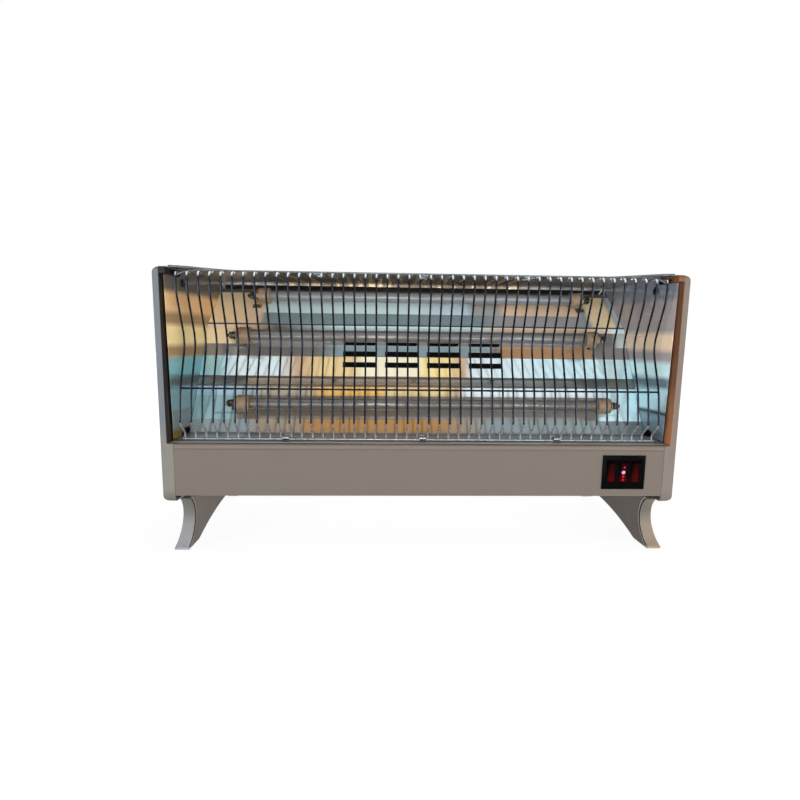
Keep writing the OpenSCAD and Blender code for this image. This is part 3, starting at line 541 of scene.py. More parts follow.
def rocker_finish(name, colour, centre, with_glint_and_marks):
    """Clear red plastic with painted light up its middle, brighter low and narrower high; one rocker has a
    painted pale glint and red marks.
    """
    finish = Finish(name, IOR=1.5, Specular_IOR_Level=0.02, Coat_Roughness=0.1)
    across = abs(finish.x - centre.x)
    up = finish.z - centre.z
    swirl = finish.noise(220.0, 3.0)
    # Painted light: a band up the rocker's middle that narrows upwards and fades at the top
    width = finish.between(up, -0.009, 0.009, 0.0036, 0.0018)
    glow = finish.between(across - width, -0.0012, 0.0012, 1.0, 0.0)
    glow = glow * finish.between(up, -0.0115, -0.0095) * finish.between(up, -0.007, 0.009, 1.0, 0.22)
    tone = finish.mix(glow, display(14, 2, 3), finish.shade(colour, 0.85 + swirl * 0.3))
    if with_glint_and_marks:
        for place, radius, tint in GLINT_AND_MARKS:
            far = across.maths("SQRT", across * across + (up - place) * (up - place))
            tone = finish.mix(finish.between(far, radius * 0.6, radius, 1.0, 0.0), tone, tint)
    finish.set(Base_Color=tone, Roughness=0.2 + swirl * 0.14, Coat_Weight=swirl * 0.02)
    return finish.bump(finish.noise(500.0), 0.00002, 0.4).material


def motor_finish():
    """Laminated iron with fine rings round its axis."""
    finish = Finish("motor iron", Metallic=0.7)
    layers = finish.noise(900.0, 1.0, (0.02, 1.0, 0.02))
    tone = finish.mix(layers, display(74, 74, 76), display(116, 114, 112))
    finish.set(Base_Color=tone, Roughness=0.35 + layers * 0.2)
    return finish.bump(layers, 0.0001, 0.5).material


def dress(material, *names):
    """Give CAD nodes a finish through their material slots."""
    for name in names:
        slots = NODES[name].material_slots
        if not slots:
            NODES[name].data.materials.append(material)
        for slot in slots:
            slot.material = material


def at(x, setback, height):
    """A point from millimetres across, behind the front plane and above the floor."""
    return Vector((x * MM, FRONT + setback * MM, height * MM))


def add_piece(name, bm, material, body="heater", stands_for=()):
    """Close a bmesh's seams, turn its faces outwards and make it a piece of the heater."""
    bmesh.ops.remove_doubles(bm, verts=bm.verts, dist=SAME_POINT)
    bmesh.ops.recalc_face_normals(bm, faces=bm.faces)
    mesh = bpy.data.meshes.new(name)
    bm.to_mesh(mesh)
    bm.free()
    mesh.shade_smooth()
    mesh.set_sharp_from_angle(angle=math.radians(CREASE))
    mesh.materials.append(material)
    piece = bpy.data.objects.new(name, mesh)
    bpy.context.scene.collection.objects.link(piece)
    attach(piece, body)
    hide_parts(*stands_for)


def verts_of(geometry):
    return [item for item in geometry if isinstance(item, bmesh.types.BMVert)]


def edges_at(verts):
    """The edges that meet the vertices."""
    return list({edge for vert in verts for edge in vert.link_edges})


def round_edges(bm, edges, width, segments):
    bmesh.ops.bevel(
        bm, geom=edges, offset=width, offset_type="OFFSET", segments=segments, profile=0.5,
        affect="EDGES", clamp_overlap=True, material=-1,
    )


def rounded_path(corners):
    """Points of a path whose corners, each (point, reach of its bend), are rounded as far as that fits."""
    points = [corners[0][0]]
    for (before, _), (corner, reach), (after, _) in zip(corners, corners[1:], corners[2:]):
        back, on = before - corner, after - corner
        cut = min(reach, back.length / 2, on.length / 2)
        start, end = corner + back.normalized() * cut, corner + on.normalized() * cut
        for i in range(BEND_STEPS + 1):
            t = i / BEND_STEPS
            points.append(start.lerp(corner, t).lerp(corner.lerp(end, t), t))
    points.append(corners[-1][0])
    return points


def sweep_rod(bm, points, radius, sides=10):
    """Sweep a closed round rod along a path, with one ring for each point."""
    directions = [(b - a).normalized() for a, b in zip(points, points[1:])]
    mean = [directions[0]]
    mean += [(a + b).normalized() for a, b in zip(directions, directions[1:])]
    mean.append(directions[-1])
    turn = Vector((0, 0, 1)).rotation_difference(mean[0]).to_matrix().to_4x4()
    place = Matrix.Translation(points[0]) @ turn
    ring = bmesh.ops.create_circle(bm, cap_ends=True, segments=sides, radius=radius, matrix=place)["verts"]
    edges = edges_at(ring)
    for here, there, old, new in zip(points, points[1:], mean, mean[1:]):
        grown = bmesh.ops.extrude_edge_only(bm, edges=edges)["geom"]
        ring = verts_of(grown)
        edges = [
            item for item in grown
            if isinstance(item, bmesh.types.BMEdge) and all(vert in ring for vert in item.verts)
        ]
        swing = old.rotation_difference(new).to_matrix().to_4x4()
        move = Matrix.Translation(there) @ swing @ Matrix.Translation(-here)
        bmesh.ops.transform(bm, matrix=move, verts=ring)
    bmesh.ops.contextual_create(bm, geom=edges)


def turned(bm, outline, centre, axis, steps=28):
    """Spin an outline of (distance along the axis, radius) points into a closed turning."""
    side = axis.orthogonal().normalized()
    verts = [bm.verts.new(centre + axis * (a * MM) + side * (r * MM)) for a, r in outline]
    edges = [bm.edges.new(pair) for pair in zip(verts, verts[1:])]
    geom = verts + edges
    bmesh.ops.spin(bm, geom=geom, cent=centre, axis=axis, angle=math.tau, steps=steps, use_merge=True)


def merged_copy(node):
    """A CAD node's mesh with its loose triangles joined."""
    bm = bmesh.new()
    bm.from_mesh(NODES[node].data)
    bmesh.ops.remove_doubles(bm, verts=bm.verts, dist=SAME_CAD_POINT)
    return bm


def softened(node, width):
    """A merged copy of a CAD node with its crisp edges rounded."""
    bm = merged_copy(node)
    bmesh.ops.dissolve_limit(bm, angle_limit=math.radians(0.5), verts=bm.verts, edges=bm.edges)
    crisp = [
        edge for edge in bm.edges
        if len(edge.link_faces) == 2 and edge.calc_face_angle(0.0) > math.radians(CREASE)
    ]
    round_edges(bm, crisp, width, segments=2)
    return bm


def slab(bm, low, high, place):
    """Add a closed block between two corners, moved and turned by a matrix, with its edges broken."""
    middle, size = (low + high) / 2, high - low
    made = bmesh.ops.create_cube(bm, size=1.0)["verts"]
    bmesh.ops.scale(bm, vec=size, verts=made)
    bmesh.ops.translate(bm, vec=middle, verts=made)
    bmesh.ops.transform(bm, matrix=place, verts=made)
    round_edges(bm, edges_at(made), min(size) * BROKEN_SHARE, segments=1)


def stand_in(context, node, name, material):
    """Replace a CAD moulding by a copy of it with its edges rounded."""
    width = context.scene.heater_sizes.moulded_edge
    add_piece(name, softened(node, width), material, stands_for=[node])


# How far behind the front plane the rear cover's top is bare steel, in metres
BARE_EDGE = 0.0155


class HEATER_OT_case(bpy.types.Operator):
    """Finish the end caps, the panel, the rear cover, the tray and the screws"""

    bl_idname = "heater.case"
    bl_label = "Case"

    def execute(self, context):
        colours = context.scene.heater_colours
        moulded = moulded_finish("moulded caps", colours.moulding, (colours.cavity, colours.wall_reflection))
        for side in ("left", "right"):
            stand_in(context, "end_cap_" + side, "cap_moulding_" + side, moulded)
        dress(painted_finish("sprayed panel", colours.paint, colours.paint, 0.0), "front_panel")
        dress(painted_finish("sprayed cover", colours.paint, display(88, 90, 98), BARE_EDGE), "rear_cover")
        dress(zinc_finish(), "base_tray", "fan_plate", "motor_strap")
        screws = plated_finish("screw plating", display(150, 156, 162), colours.bright, 0.1, 0.3)
        dress(screws, "case_screws", "leg_screws", "fan_shaft")
        return {"FINISHED"}


# The right end of the runs over the upper facet: (place across, tint)
RIGHT_END = (
    (206, HIGH_SLATE), (214, HIGH_GOLD), (238, HIGH_GOLD), (243, HIGH_DUSK), (250, HIGH_BLUE),
)
# Painted reflections and shade on the back sheet from its foot upwards: (top height, tint)
BACK_BANDS = (
    (118.0, SMOKE), (131.0, ORANGE), (156.5, SMOKE), (165.6, GOLD), (166.8, INK), (177.0, RIB), (178.2, INK),
    (199.5, STRAW), (231.0, SMOKE), (235.8, WHITE), (237.6, INK), (251.0, HIGH_SLATE), (269.5, HIGH_ICE),
    (286.0, DUSK),
)
# Runs of painted reflection across the back sheet: (low height, high height, (place across, tint) ...)
BACK_ROWS = (
    (118.0, 131.0, (
        (-195, MIST), (-180, LOAM), (-140, LOAM), (-125, ORANGE), (20, ORANGE), (80, MIST), (205, MIST),
        (220, SLATE),
    )),
    (131.0, 156.5, ((-212, TEAL), (-204, EARTH), (-60, EARTH), (60, SMOKE), (200, SMOKE), (210, ICE))),
    (156.5, 165.6, (
        (-215, STEEL_BLUE), (-170, CLAY), (-130, CLAY), (-110, OCHRE), (-47, OCHRE), (-36, STRAW),
        (24, STRAW), (44, PEACH), (54, PALE), (190, PALE), (215, ICE),
    )),
    (166.8, 177.0, ((-212, COOL_RIB), (-190, RIB), (20, RIB), (70, COOL_RIB))),
    (178.2, 199.5, (
        (-244, AQUA), (-228, AQUA), (-212, WHITE), (-165, WHITE), (-140, PEACH), (-112, STRAW), (-78, STRAW),
        (-62, CREAM), (-6, CREAM), (6, GOLD), (30, GOLD), (52, PEACH), (60, WHITE), (180, ICE),
    )),
    (201.0, 217.0, (
        (-120, SMOKE), (-96, HIGH_SLATE), (84, HIGH_SLATE), (90, SMOKE), (102, AMBER), (200, AMBER),
        (212, SMOKE),
    )),
    (214.0, 231.0, ((-222, HIGH_GOLD), (-204, PEACH), (-190, SMOKE), (232, SMOKE), (240, WHITE))),
    (231.0, 235.8, (
        (-196, HIGH_PEACH), (-170, SMOKE), (-90, HIGH_ICE), (60, HIGH_ICE), (110, HIGH_PEACH),
        (225, HIGH_PEACH), (236, HIGH_ICE),
    )),
    (243.0, 277.0, (
        (-222, HIGH_GOLD), (-192, HIGH_PEACH), (-184, HIGH_ICE), (2, HIGH_ICE), (12, HIGH_BLUE),
        (60, HIGH_BLUE), (70, HIGH_DUSK), (100, HIGH_DUSK), (110, HIGH_ORANGE), (198, HIGH_ORANGE),
        *RIGHT_END,
    )),
)
# The dull bands above and below the bright one of the last row, between its gold ends
DULL_RUN = (
    (-222, HIGH_GOLD), (-192, HIGH_PEACH), (-186, HIGH_SLATE), (80, HIGH_SLATE), (100, HIGH_ROSE),
    (200, HIGH_ROSE), *RIGHT_END,
)
DULL_ROWS = ((238.4, 251.0, DULL_RUN), (269.5, 277.0, DULL_RUN))
# Painted reflections on the sheet's foot by setback
FLANGE_BANDS = ((8.5, DUSK), (17.0, SLATE), (31.0, STEEL_BLUE), (45.0, SMOKE))
# Painted reflections and shade on the side sheets from the bottom upwards
LEFT_BANDS = (
    (124.0, UMBER), (141.5, MIST), (143.0, SMOKE), (168.0, TEAL), (179.0, SLATE), (199.5, WALL_TEAL),
    (212.0, WALL_TAN), (233.5, WALL_GOLD), (246.0, WALL_TAN), (267.0, WALL_PEACH), (292.0, DUSK),
)
RIGHT_BANDS = (
    (124.0, SLATE), (144.0, WALL_STEEL), (145.6, INK), (171.5, ICE), (183.0, WALL_STEEL), (199.5, WALL_ICE),
    (212.0, WALL_DUSK), (231.0, HIGH_ORANGE), (267.0, WALL_DUSK), (292.0, WALL_SLATE),
)
# Heights and middles of the vents whose edges show painted shade, and half the size of such a vent with its
# edges
VENTS = (190.9, 203.3), (-70.45, -21.15, 28.15, 77.45), (19.2, 2.9)
# Middle of the air vents, and half the width and height of the gauze behind them
VENT_MIDDLE = (3.5, 78.6, 203.3)
GAUZE_HALF = (97.5, 18.5)
# How far behind the sheet's face the gauze starts and ends, in metres
GAUZE_FROM, GAUZE_TO = 1.4 * MM, 2.0 * MM


class HEATER_OT_reflector(bpy.types.Operator):
    """Finish the polished sheets of the trough with their painted reflections, and back its air vents with
    dark gauze that stands for the shade in them
    """

    bl_idname = "heater.reflector"
    bl_label = "Reflector"

    def execute(self, context):
        back = mirror_finish("mirror sheet back", BACK_BANDS, BACK_ROWS + DULL_ROWS, FLANGE_BANDS, VENTS)
        dress(back, "reflector_back")
        dress(mirror_finish("mirror sheet left", LEFT_BANDS, blur=SIDE_BLUR), "reflector_side_left")
        dress(mirror_finish("mirror sheet right", RIGHT_BANDS, blur=SIDE_BLUR), "reflector_side_right")
        dress(lid_finish(), "reflector_top")
        # A near-black gauze behind the vents, which stands for the shade inside them
        bm = bmesh.new()
        half_x, half_z = (side * MM for side in GAUZE_HALF)
        place = Matrix.Translation(at(*VENT_MIDDLE)) @ Matrix.Rotation(math.radians(-LOWER_LEAN), 4, "X")
        slab(bm, Vector((-half_x, GAUZE_FROM, -half_z)), Vector((half_x, GAUZE_TO, half_z)), place)
        gauze = plain_plastic("black gauze", display(12, 12, 13), 0.7, 2500.0, 0.03)
        add_piece("vent_shade_gauze", bm, gauze)
        return {"FINISHED"}


# An upright wire as (setback, height, reach of the bend), from its tail on the top rail to its foot
WIRE_BENDS = (
    (17.0, 285.77, 0.0), (8.0, 285.77, 4.0), (8.0, 265.8, 9.0), (23.0, 222.0, 6.0), (23.0, 209.0, 6.0),
    (8.0, 168.5, 9.0), (3.0, 133.5, 3.0), (14.8, 121.5, 3.0), (14.8, 115.6, 0.0),
)
# The middle and the bottom rail as (setback, height), and how far they pass the outer wires
STRAIGHT_RAILS, RAIL_PASS = ((10.4, 168.5), (12.5, 115.2)), 1.0
# The top rail in the same way, and a bent end of it from the tip on as (inwards, forwards, downwards)
TOP_RAIL = (14.0, 287.5)
TOP_RAIL_END = ((0, 2.4, 5), (4, 0.4, 2), (14, 0, 0))
# A reach of a bend in metres that is longer than any rail, so the bend is as wide as fits
WIDEST = 1.0
# The top clips: front and rear setbacks, lowest and highest points, width and sheet
CLIP_FRONT, CLIP_REAR, CLIP_LOW, CLIP_TOP = 15.2, 45.5, 284.8, 288.4
CLIP_WIDTH, CLIP_SHEET = 7.0, 1.0
# The top clips' places, counted in wires from the middle
TOP_CLIPS = (-10, 0, 10)
# The top clips of the CAD mesh lie more than this over the grille's foot, in metres
TOP_CLIPS_ABOVE = 0.1
# A washer under a side sheet's screw as (distance inwards from its seat, radius)
WASHER_OUTLINE = ((-0.2, 0.0), (-0.2, 4.2), (0.3, 4.4), (0.7, 4.2), (0.7, 0.0))
# Where the washers sit, across the heater
WASHER_SEAT = 255.2


class HEATER_OT_grille(bpy.types.Operator):
    """Bend the upright wires, the rails and the clips of the grille, and finish its screws"""

    bl_idname = "heater.grille"
    bl_label = "Grille"

    def execute(self, context):
        sizes, colours = context.scene.heater_sizes, context.scene.heater_colours
        reach = GRILLE_HIGH.x - sizes.wire_thickness / 2
        pitch = 2 * reach / (sizes.wire_count - 1)
        self.add_wires(sizes, colours, reach, pitch)
        self.add_rails(sizes, colours, reach)
        self.add_clips(pitch)
        dark = plated_finish("dark screw plating", display(52, 60, 68), display(90, 102, 112), 0.276, 0.279)
        dress(dark, "reflector_screws")
        self.add_washers()
        dress(plain_plastic("bright zinc", display(206, 216, 218), 0.3, 600.0, 0.6), "grille_screws")
        return {"FINISHED"}

    def add_wires(self, sizes, colours, reach, pitch):
        """Sweep the wire at the left end and set copies of it along the heater."""
        bm = bmesh.new()
        path = rounded_path([(at(0, s, z) - Vector((reach, 0, 0)), bend * MM) for s, z, bend in WIRE_BENDS])
        sweep_rod(bm, path, sizes.wire_thickness / 2)
        first = list(bm.verts) + list(bm.edges) + list(bm.faces)
        for i in range(1, sizes.wire_count):
            copy = bmesh.ops.duplicate(bm, geom=first)["geom"]
            bmesh.ops.translate(bm, vec=(i * pitch, 0, 0), verts=verts_of(copy))
        # Painted highlight on the hooks above 281 mm, and painted reflection of light from above on the feet
        # below 133 mm
        plating = plated_finish("wire plating", colours.wire, colours.bright, 0.281, 0.284, 0.1325, 0.1345)
        add_piece("grille_wires", bm, plating, stands_for=["front_grille"])

    def add_rails(self, sizes, colours, reach):
        """Sweep two straight rails and a top rail whose ends bend down to the front."""
        bm = bmesh.new()
        radius = sizes.rail_thickness / 2
        half = reach / MM
        end = half + RAIL_PASS
        for s, z in STRAIGHT_RAILS:
            sweep_rod(bm, [at(x, s, z) for x in (-end, 0, end)], radius, sides=12)
        s, z = TOP_RAIL
        right = [at(half - x, s - fore, z - down) for x, fore, down in TOP_RAIL_END]
        left = [Vector((-p.x, p.y, p.z)) for p in reversed(right)]
        ends = [[(p, WIDEST) for p in points] for points in (right, left)]
        path = rounded_path([*ends[0], (at(0, s, z), 0), *ends[1]])
        sweep_rod(bm, path, radius, sides=12)
        # Painted reflections: grey-blue on the top rail and grey on the bottom rail
        rails = plated_finish("rail plating", colours.wire, display(98, 106, 114), 0.18, 0.181, 0.12, 0.121)
        add_piece("grille_rail_rods", bm, rails, stands_for=["grille_rails"])

    def add_clips(self, pitch):
        """The foot clips keep their shape; the top ones become straps bent down behind the top rail."""
        bm = merged_copy("grille_clips")
        top_ones = [vert for vert in bm.verts if vert.co.z > GRILLE_LOW.z + TOP_CLIPS_ABOVE]
        bmesh.ops.delete(bm, geom=top_ones, context="VERTS")
        for count in TOP_CLIPS:
            left, right = (count * pitch / MM + side * CLIP_WIDTH / 2 for side in (-1, 1))
            strap = at(left, CLIP_FRONT, CLIP_TOP - CLIP_SHEET), at(right, CLIP_REAR, CLIP_TOP)
            front = at(left, CLIP_FRONT, CLIP_LOW), at(right, CLIP_FRONT + CLIP_SHEET, CLIP_TOP)
            for corners in (strap, front):
                slab(bm, *corners, Matrix())
        clips = plated_finish("clip plating", display(120, 124, 126), display(92, 98, 104), 0.2, 0.3)
        add_piece("grille_straps", bm, clips, stands_for=["grille_clips"])

    def add_washers(self):
        """Turn a dark washer under the screw of each side sheet."""
        low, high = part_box("reflector_screws")
        bm = bmesh.new()
        for side in (-1.0, 1.0):
            seat = Vector((side * WASHER_SEAT * MM, (low.y + high.y) / 2, (low.z + high.z) / 2))
            turned(bm, WASHER_OUTLINE, seat, Vector((-side, 0, 0)), steps=24)
        steel = plain_plastic("blackened steel", display(28, 34, 40), 0.35, 600.0)
        add_piece("wall_washers", bm, steel)


# A ceramic tube end as (distance outwards, radius), from the bore round to the terminal
CERAMIC_OUTLINE = (
    (6.2, 0.0), (6.2, 6.4), (0.0, 6.4), (0.0, 8.8), (0.7, 9.5), (1.6, 9.5), (2.1, 9.1), (10.8, 9.1),
    (11.2, 9.5), (12.3, 9.5), (13.0, 8.8), (13.0, 5.9), (13.4, 5.5), (16.4, 5.5), (17.0, 4.9), (17.0, 0.0),
)
# The eye of a support round the ceramic's neck, in the same way
EYE_OUTLINE = ((13.2, 5.6), (13.2, 8.6), (14.6, 8.6), (14.6, 5.6), (13.2, 5.6))
# The washer and the rounded stud of a terminal, and its two six-sided nuts
STUD_OUTLINE = (
    (17.05, 0.0), (17.05, 4.4), (17.3, 4.6), (18.0, 4.6), (18.2, 4.4), (18.2, 2.0), (26.4, 2.0), (26.9, 1.4),
    (26.9, 0.0),
)
NUT_OUTLINES = (
    ((18.5, 2.0), (18.5, 4.0), (18.9, 4.5), (21.1, 4.5), (21.5, 4.0), (21.5, 2.0)),
    ((22.0, 2.0), (22.0, 3.8), (22.3, 4.2), (24.0, 4.2), (24.3, 3.8), (24.3, 2.0)),
)
# How deep a tube sits in its ceramic ends, in metres
TUBE_SEAT = 6.0 * MM
# A support, in metres outwards from the ceramic's inner end: both faces of its plate and the tip of its foot
PLATE_FROM, PLATE_TO, FOOT_TIP = 13.2 * MM, 14.6 * MM, 24.0 * MM
# Where the plate starts behind the tube's axis, in metres
PLATE_START = 6.5 * MM
# Lean of the back sheet's facets in degrees
LOWER_LEAN, UPPER_LEAN = 24.0, 49.3
# For each tube: the lean of the facet behind it, how far that lies behind the axis, and how far its left and
# its right ceramic end are moved inwards
TUBES = {
    "heating_tube_top": (UPPER_LEAN, 16.1, (7.0, 7.0)),
    "heating_tube_middle": (LOWER_LEAN, 23.3, (0.0, 0.0)),
    "heating_tube_bottom": (LOWER_LEAN, 16.2, (-4.0, 0.0)),
}


class HEATER_OT_tubes(bpy.types.Operator):
    """Finish the heating tubes, turn their ceramic ends and terminals and bend their supports"""

    bl_idname = "heater.tubes"
    bl_label = "Heating tubes"

    def execute(self, context):
        colours = context.scene.heater_colours
        ends, supports, studs = (bmesh.new() for _ in range(3))
        half_strap = context.scene.heater_sizes.strap_width / 2
        for tube, (lean, depth, moves) in TUBES.items():
            low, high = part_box(tube)
            middle = (low + high) / 2
            facet = Matrix.Rotation(math.radians(-lean), 4, "X")
            for edge, outwards, move in ((low.x, -1.0, moves[0]), (high.x, 1.0, moves[1])):
                axis = Vector((outwards, 0, 0))
                inner = Vector((edge, middle.y, middle.z)) - axis * (TUBE_SEAT + move * MM)
                turned(ends, CERAMIC_OUTLINE, inner, axis)
                turned(supports, EYE_OUTLINE, inner, axis)
                turned(studs, STUD_OUTLINE, inner, axis)
                for outline in NUT_OUTLINES:
                    turned(studs, outline, inner, axis, steps=6)
                place = Matrix.Translation(inner) @ facet @ Matrix.Diagonal((outwards, 1, 1, 1))
                self.add_support(supports, half_strap, depth * MM, place)
        glaze = glazed_finish(colours.ceramic)
        add_piece("ceramic_turnings", ends, glaze, stands_for=["ceramic_ends"])
        steel = oxidised_finish("bracket steel", display(176, 160, 126), display(62, 50, 38), 0.5)
        add_piece("tube_supports", supports, steel, stands_for=["tube_brackets"])
        brass = oxidised_finish("terminal brass", display(150, 144, 132), display(40, 34, 28), 0.42)
        add_piece("terminal_studs", studs, brass, stands_for=["tube_terminals"])
        half_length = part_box("heating_tube_top")[1].x - TUBE_SEAT
        dress(frosted_finish(colours.tube, colours.upper_tube_light, half_length), *TUBES)
        dress(oxidised_finish("coil core", display(90, 84, 80), display(52, 46, 42), 0.5), "resistance_cores")
        return {"FINISHED"}

    def add_support(self, bm, half, depth, place):
        """A strap from the eye down to the sheet, with a foot turned outwards along the sheet."""
        slab(bm, Vector((PLATE_FROM, PLATE_START, -half)), Vector((PLATE_TO, depth, half)), place)
        slab(bm, Vector((PLATE_FROM, depth - SHEET, -half)), Vector((FOOT_TIP, depth, half)), place)


class HEATER_OT_switch(bpy.types.Operator):
    """Round the switch's bezel and its three rockers"""

    bl_idname = "heater.switch"
    bl_label = "Switch"

    def execute(self, context):
        sizes, colours = context.scene.heater_sizes, context.scene.heater_colours
        black = plain_plastic("black switch plastic", display(4, 5, 5), 0.24, 700.0, 0.02)
        frame_mesh = softened("switch_bezel", sizes.switch_edge)
        add_piece("switch_frame", frame_mesh, black, stands_for=["switch_bezel"])
        dress(black, "switch_body", "thermal_cutout")
        for place in ("left", "centre", "right"):
            node = "rocker_" + place
            low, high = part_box(node)
            red = rocker_finish("red rocker " + place, colours.rocker, (low + high) / 2, place == "centre")
            cap = softened(node, sizes.switch_edge)
            add_piece("rocker_cap_" + place, cap, red, body=node, stands_for=[node])
        dress(oxidised_finish("tab brass", display(196, 164, 96), display(120, 92, 52), 0.62), "switch_tabs")
        return {"FINISHED"}


class HEATER_OT_fan(bpy.types.Operator):
    """Finish the fan and the fittings behind the trough"""

    bl_idname = "heater.fan"
    bl_label = "Fan and fittings"

    def execute(self, context):
        blades = plain_plastic("fan plastic", display(58, 60, 64), 0.4, 500.0)
        dress(blades, "fan_shroud", "fan_impeller")
        dress(motor_finish(), "fan_motor")
        dress(plain_plastic("terminal block plastic", display(222, 216, 200), 0.4, 500.0), "terminal_block")
        dress(plain_plastic("gland rubber", display(30, 30, 31), 0.62, 900.0), "cord_gland")
        return {"FINISHED"}


# A leg's front curve passes three points of (setback, height); its arch is part of a circle
LEG_TOP, LEG_WAIST, LEG_TOE = Vector((0.0, 54.0)), Vector((12.0, 30.0)), Vector((-6.0, 3.0))
ARCH_MIDDLE, ARCH_RADIUS = Vector((135.0, -298.0)), 318.0
# Height of the leg's seat under the case, and how far its inner face leans in at the top
LEG_HEIGHT, LEG_LEAN = 58.4, 2.5
# Setbacks of the rear foot's front and back, and of the step at the leg's top
FOOT_FRONT, FOOT_BACK, LEG_STEP = 168.0, 187.4, 12.6
# The groove starts this far behind the front curve, and the plate laps this far under the rim
GROOVE_GAP, PLATE_LAP = 0.4, 0.2
# Depths in the leg's inner face of the plate's visible side, which stands out of it, and of the rods' middles
PLATE_DEPTH, ROD_DEPTH = -0.3, 0.2
# The plate stays clear of the leg's other edges: at the arch and the step, at the floor and under the seat
ARCH_GAP, FLOOR_GAP, SEAT_GAP = 0.4, 0.6, 0.8
# How far behind the front curve the plate's foot starts
TOE_GAP = 2.0
# The lengths that the plate's curves and the rods are made of
PLATE_STEPS, ROD_STEPS = 20, 24


def circle_through(a, b, c):
    """Centre and radius of the circle through three points of a plane."""
    u, v = b - a, c - a
    d = 2 * (u.x * v.y - u.y * v.x)
    centre = a + Vector((v.y * u.length_squared - u.y * v.length_squared,
                         u.x * v.length_squared - v.x * u.length_squared)) / d
    return centre, (a - centre).length


def arc_between(centre, radius, start, end, steps):
    """Points from the bearing of start to the bearing of end, round the centre."""
    first, last = (math.atan2(p.y - centre.y, p.x - centre.x) for p in (start, end))
    angles = (first + (last - first) * i / steps for i in range(steps + 1))
    return [centre + Vector((math.cos(a), math.sin(a))) * radius for a in angles]


class HEATER_OT_legs(bpy.types.Operator):
    """Round the legs, close their inner sides with plates and lay a dark rod of painted shadow for a groove
    and a rim with a painted highlight along the front
    """

    bl_idname = "heater.legs"
    bl_label = "Legs"

    def execute(self, context):
        sizes, colours = context.scene.heater_sizes, context.scene.heater_colours
        moulded = moulded_finish("moulded legs", colours.moulding, (colours.cavity, colours.wall_reflection))
        plate = moulded_finish("moulded plates", colours.plate, (colours.cavity, colours.wall_reflection), 0.4)
        pale = plain_plastic("pale rim", colours.rim, 0.4, 900.0)
        groove = plain_plastic("groove shadow", display(30, 26, 26), 0.6, 500.0)
        centre, radius = circle_through(LEG_TOP, LEG_WAIST, LEG_TOE)
        groove_at = sizes.groove / MM / 2 + GROOVE_GAP
        rim_at = groove_at + (sizes.groove + sizes.rim) / MM / 2
        plate_at = rim_at + sizes.rim / MM / 2 - PLATE_LAP
        rods = ("leg_groove_", sizes.groove, groove_at, groove), ("leg_rim_", sizes.rim, rim_at, pale)
        for side, sign in (("left", -1.0), ("right", 1.0)):
            node = "leg_" + side
            stand_in(context, node, "leg_moulding_" + side, moulded)
            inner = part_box(node)[0].x if sign > 0 else -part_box(node)[1].x
            bm = bmesh.new()
            outline = self.plate_outline(centre, radius + plate_at)
            face = bm.faces.new([bm.verts.new(self.on_leg(sign, inner, p, PLATE_DEPTH)) for p in outline])
            grown = bmesh.ops.extrude_face_region(bm, geom=[face])["geom"]
            bmesh.ops.translate(bm, vec=(sign * SHEET, 0, 0), verts=verts_of(grown))
            bmesh.ops.triangulate(bm, faces=[item for item in bm.faces if len(item.verts) > 4])
            add_piece("leg_plate_" + side, bm, plate)
            for name, width, away, material in rods:
                line = arc_between(centre, radius + away, LEG_TOP, LEG_TOE, ROD_STEPS)[1:-1]
                bm = bmesh.new()
                sweep_rod(bm, [self.on_leg(sign, inner, p, ROD_DEPTH) for p in line], width / 2)
                add_piece(name + side, bm, material)
        return {"FINISHED"}

    def plate_outline(self, centre, radius):
        """The plate's outline of (setback, height) points: front curve, arch, rear foot and seat."""
        front = arc_between(centre, radius, LEG_TOP, LEG_TOE, PLATE_STEPS)[1:-1]
        arch_start = ARCH_MIDDLE.x - math.sqrt(ARCH_RADIUS ** 2 - ARCH_MIDDLE.y ** 2)
        rise = math.sqrt(ARCH_RADIUS ** 2 - (FOOT_FRONT - ARCH_MIDDLE.x) ** 2) + ARCH_MIDDLE.y
        ends = Vector((arch_start, 0)), Vector((FOOT_FRONT, rise))
        arch = arc_between(ARCH_MIDDLE, ARCH_RADIUS + ARCH_GAP, *ends, PLATE_STEPS)
        top = LEG_HEIGHT - SEAT_GAP
        back = (
            (FOOT_FRONT + ARCH_GAP, FLOOR_GAP), (FOOT_BACK, FLOOR_GAP), (FOOT_BACK, top), (LEG_STEP, top),
            (LEG_STEP, LEG_TOP.y - ARCH_GAP),
        )
        return [*front, Vector((front[-1].x + TOE_GAP, FLOOR_GAP)), *arch, *map(Vector, back)]

    def on_leg(self, sign, inner, point, depth):
        """A point of (setback, height), set into the leg's leaning inner face by a depth in millimetres."""
        lean = LEG_LEAN * (1 - point.y / LEG_HEIGHT)
        return at(sign * (inner / MM + lean + depth), point.x, point.y)


# The camera: place in metres, then yaw, downward pitch and roll in degrees, and the lens in millimetres
CAMERA_PLACE = (-0.0424, -0.4889, 0.2226)
CAMERA_TURN = (2.04, 7.37, 0.72)
CAMERA_LENS = 21.6
# The soft lamps: name, place and size in metres, power in watts and tint
LAMPS = (
    ("cool side", (-1.3, -0.85, 0.22), (0.5, 0.3), 9.4, (0.76, 0.89, 1.0)),
    ("warm side", (1.3, -0.85, 0.22), (0.5, 0.3), 8.2, (1.0, 0.86, 0.74)),
    ("low front", (0.0, -1.05, 0.06), (1.1, 0.08), 4.8, (1.0, 0.98, 0.95)),
    ("overhead", (0.0, -0.2, 1.9), (1.5, 1.5), 6.0, (1.0, 1.0, 1.0)),
    ("behind", (0.5, 2.0, 1.0), (1.6, 1.6), 24.0, (1.0, 1.0, 1.0)),
    ("near window", (-0.06, -1.3, 0.42), (0.14, 0.76), 2.8, (1.0, 0.95, 0.9)),
    ("far window", (0.5, -1.3, 0.42), (0.14, 0.76), 2.6, (0.76, 0.9, 1.0)),
)
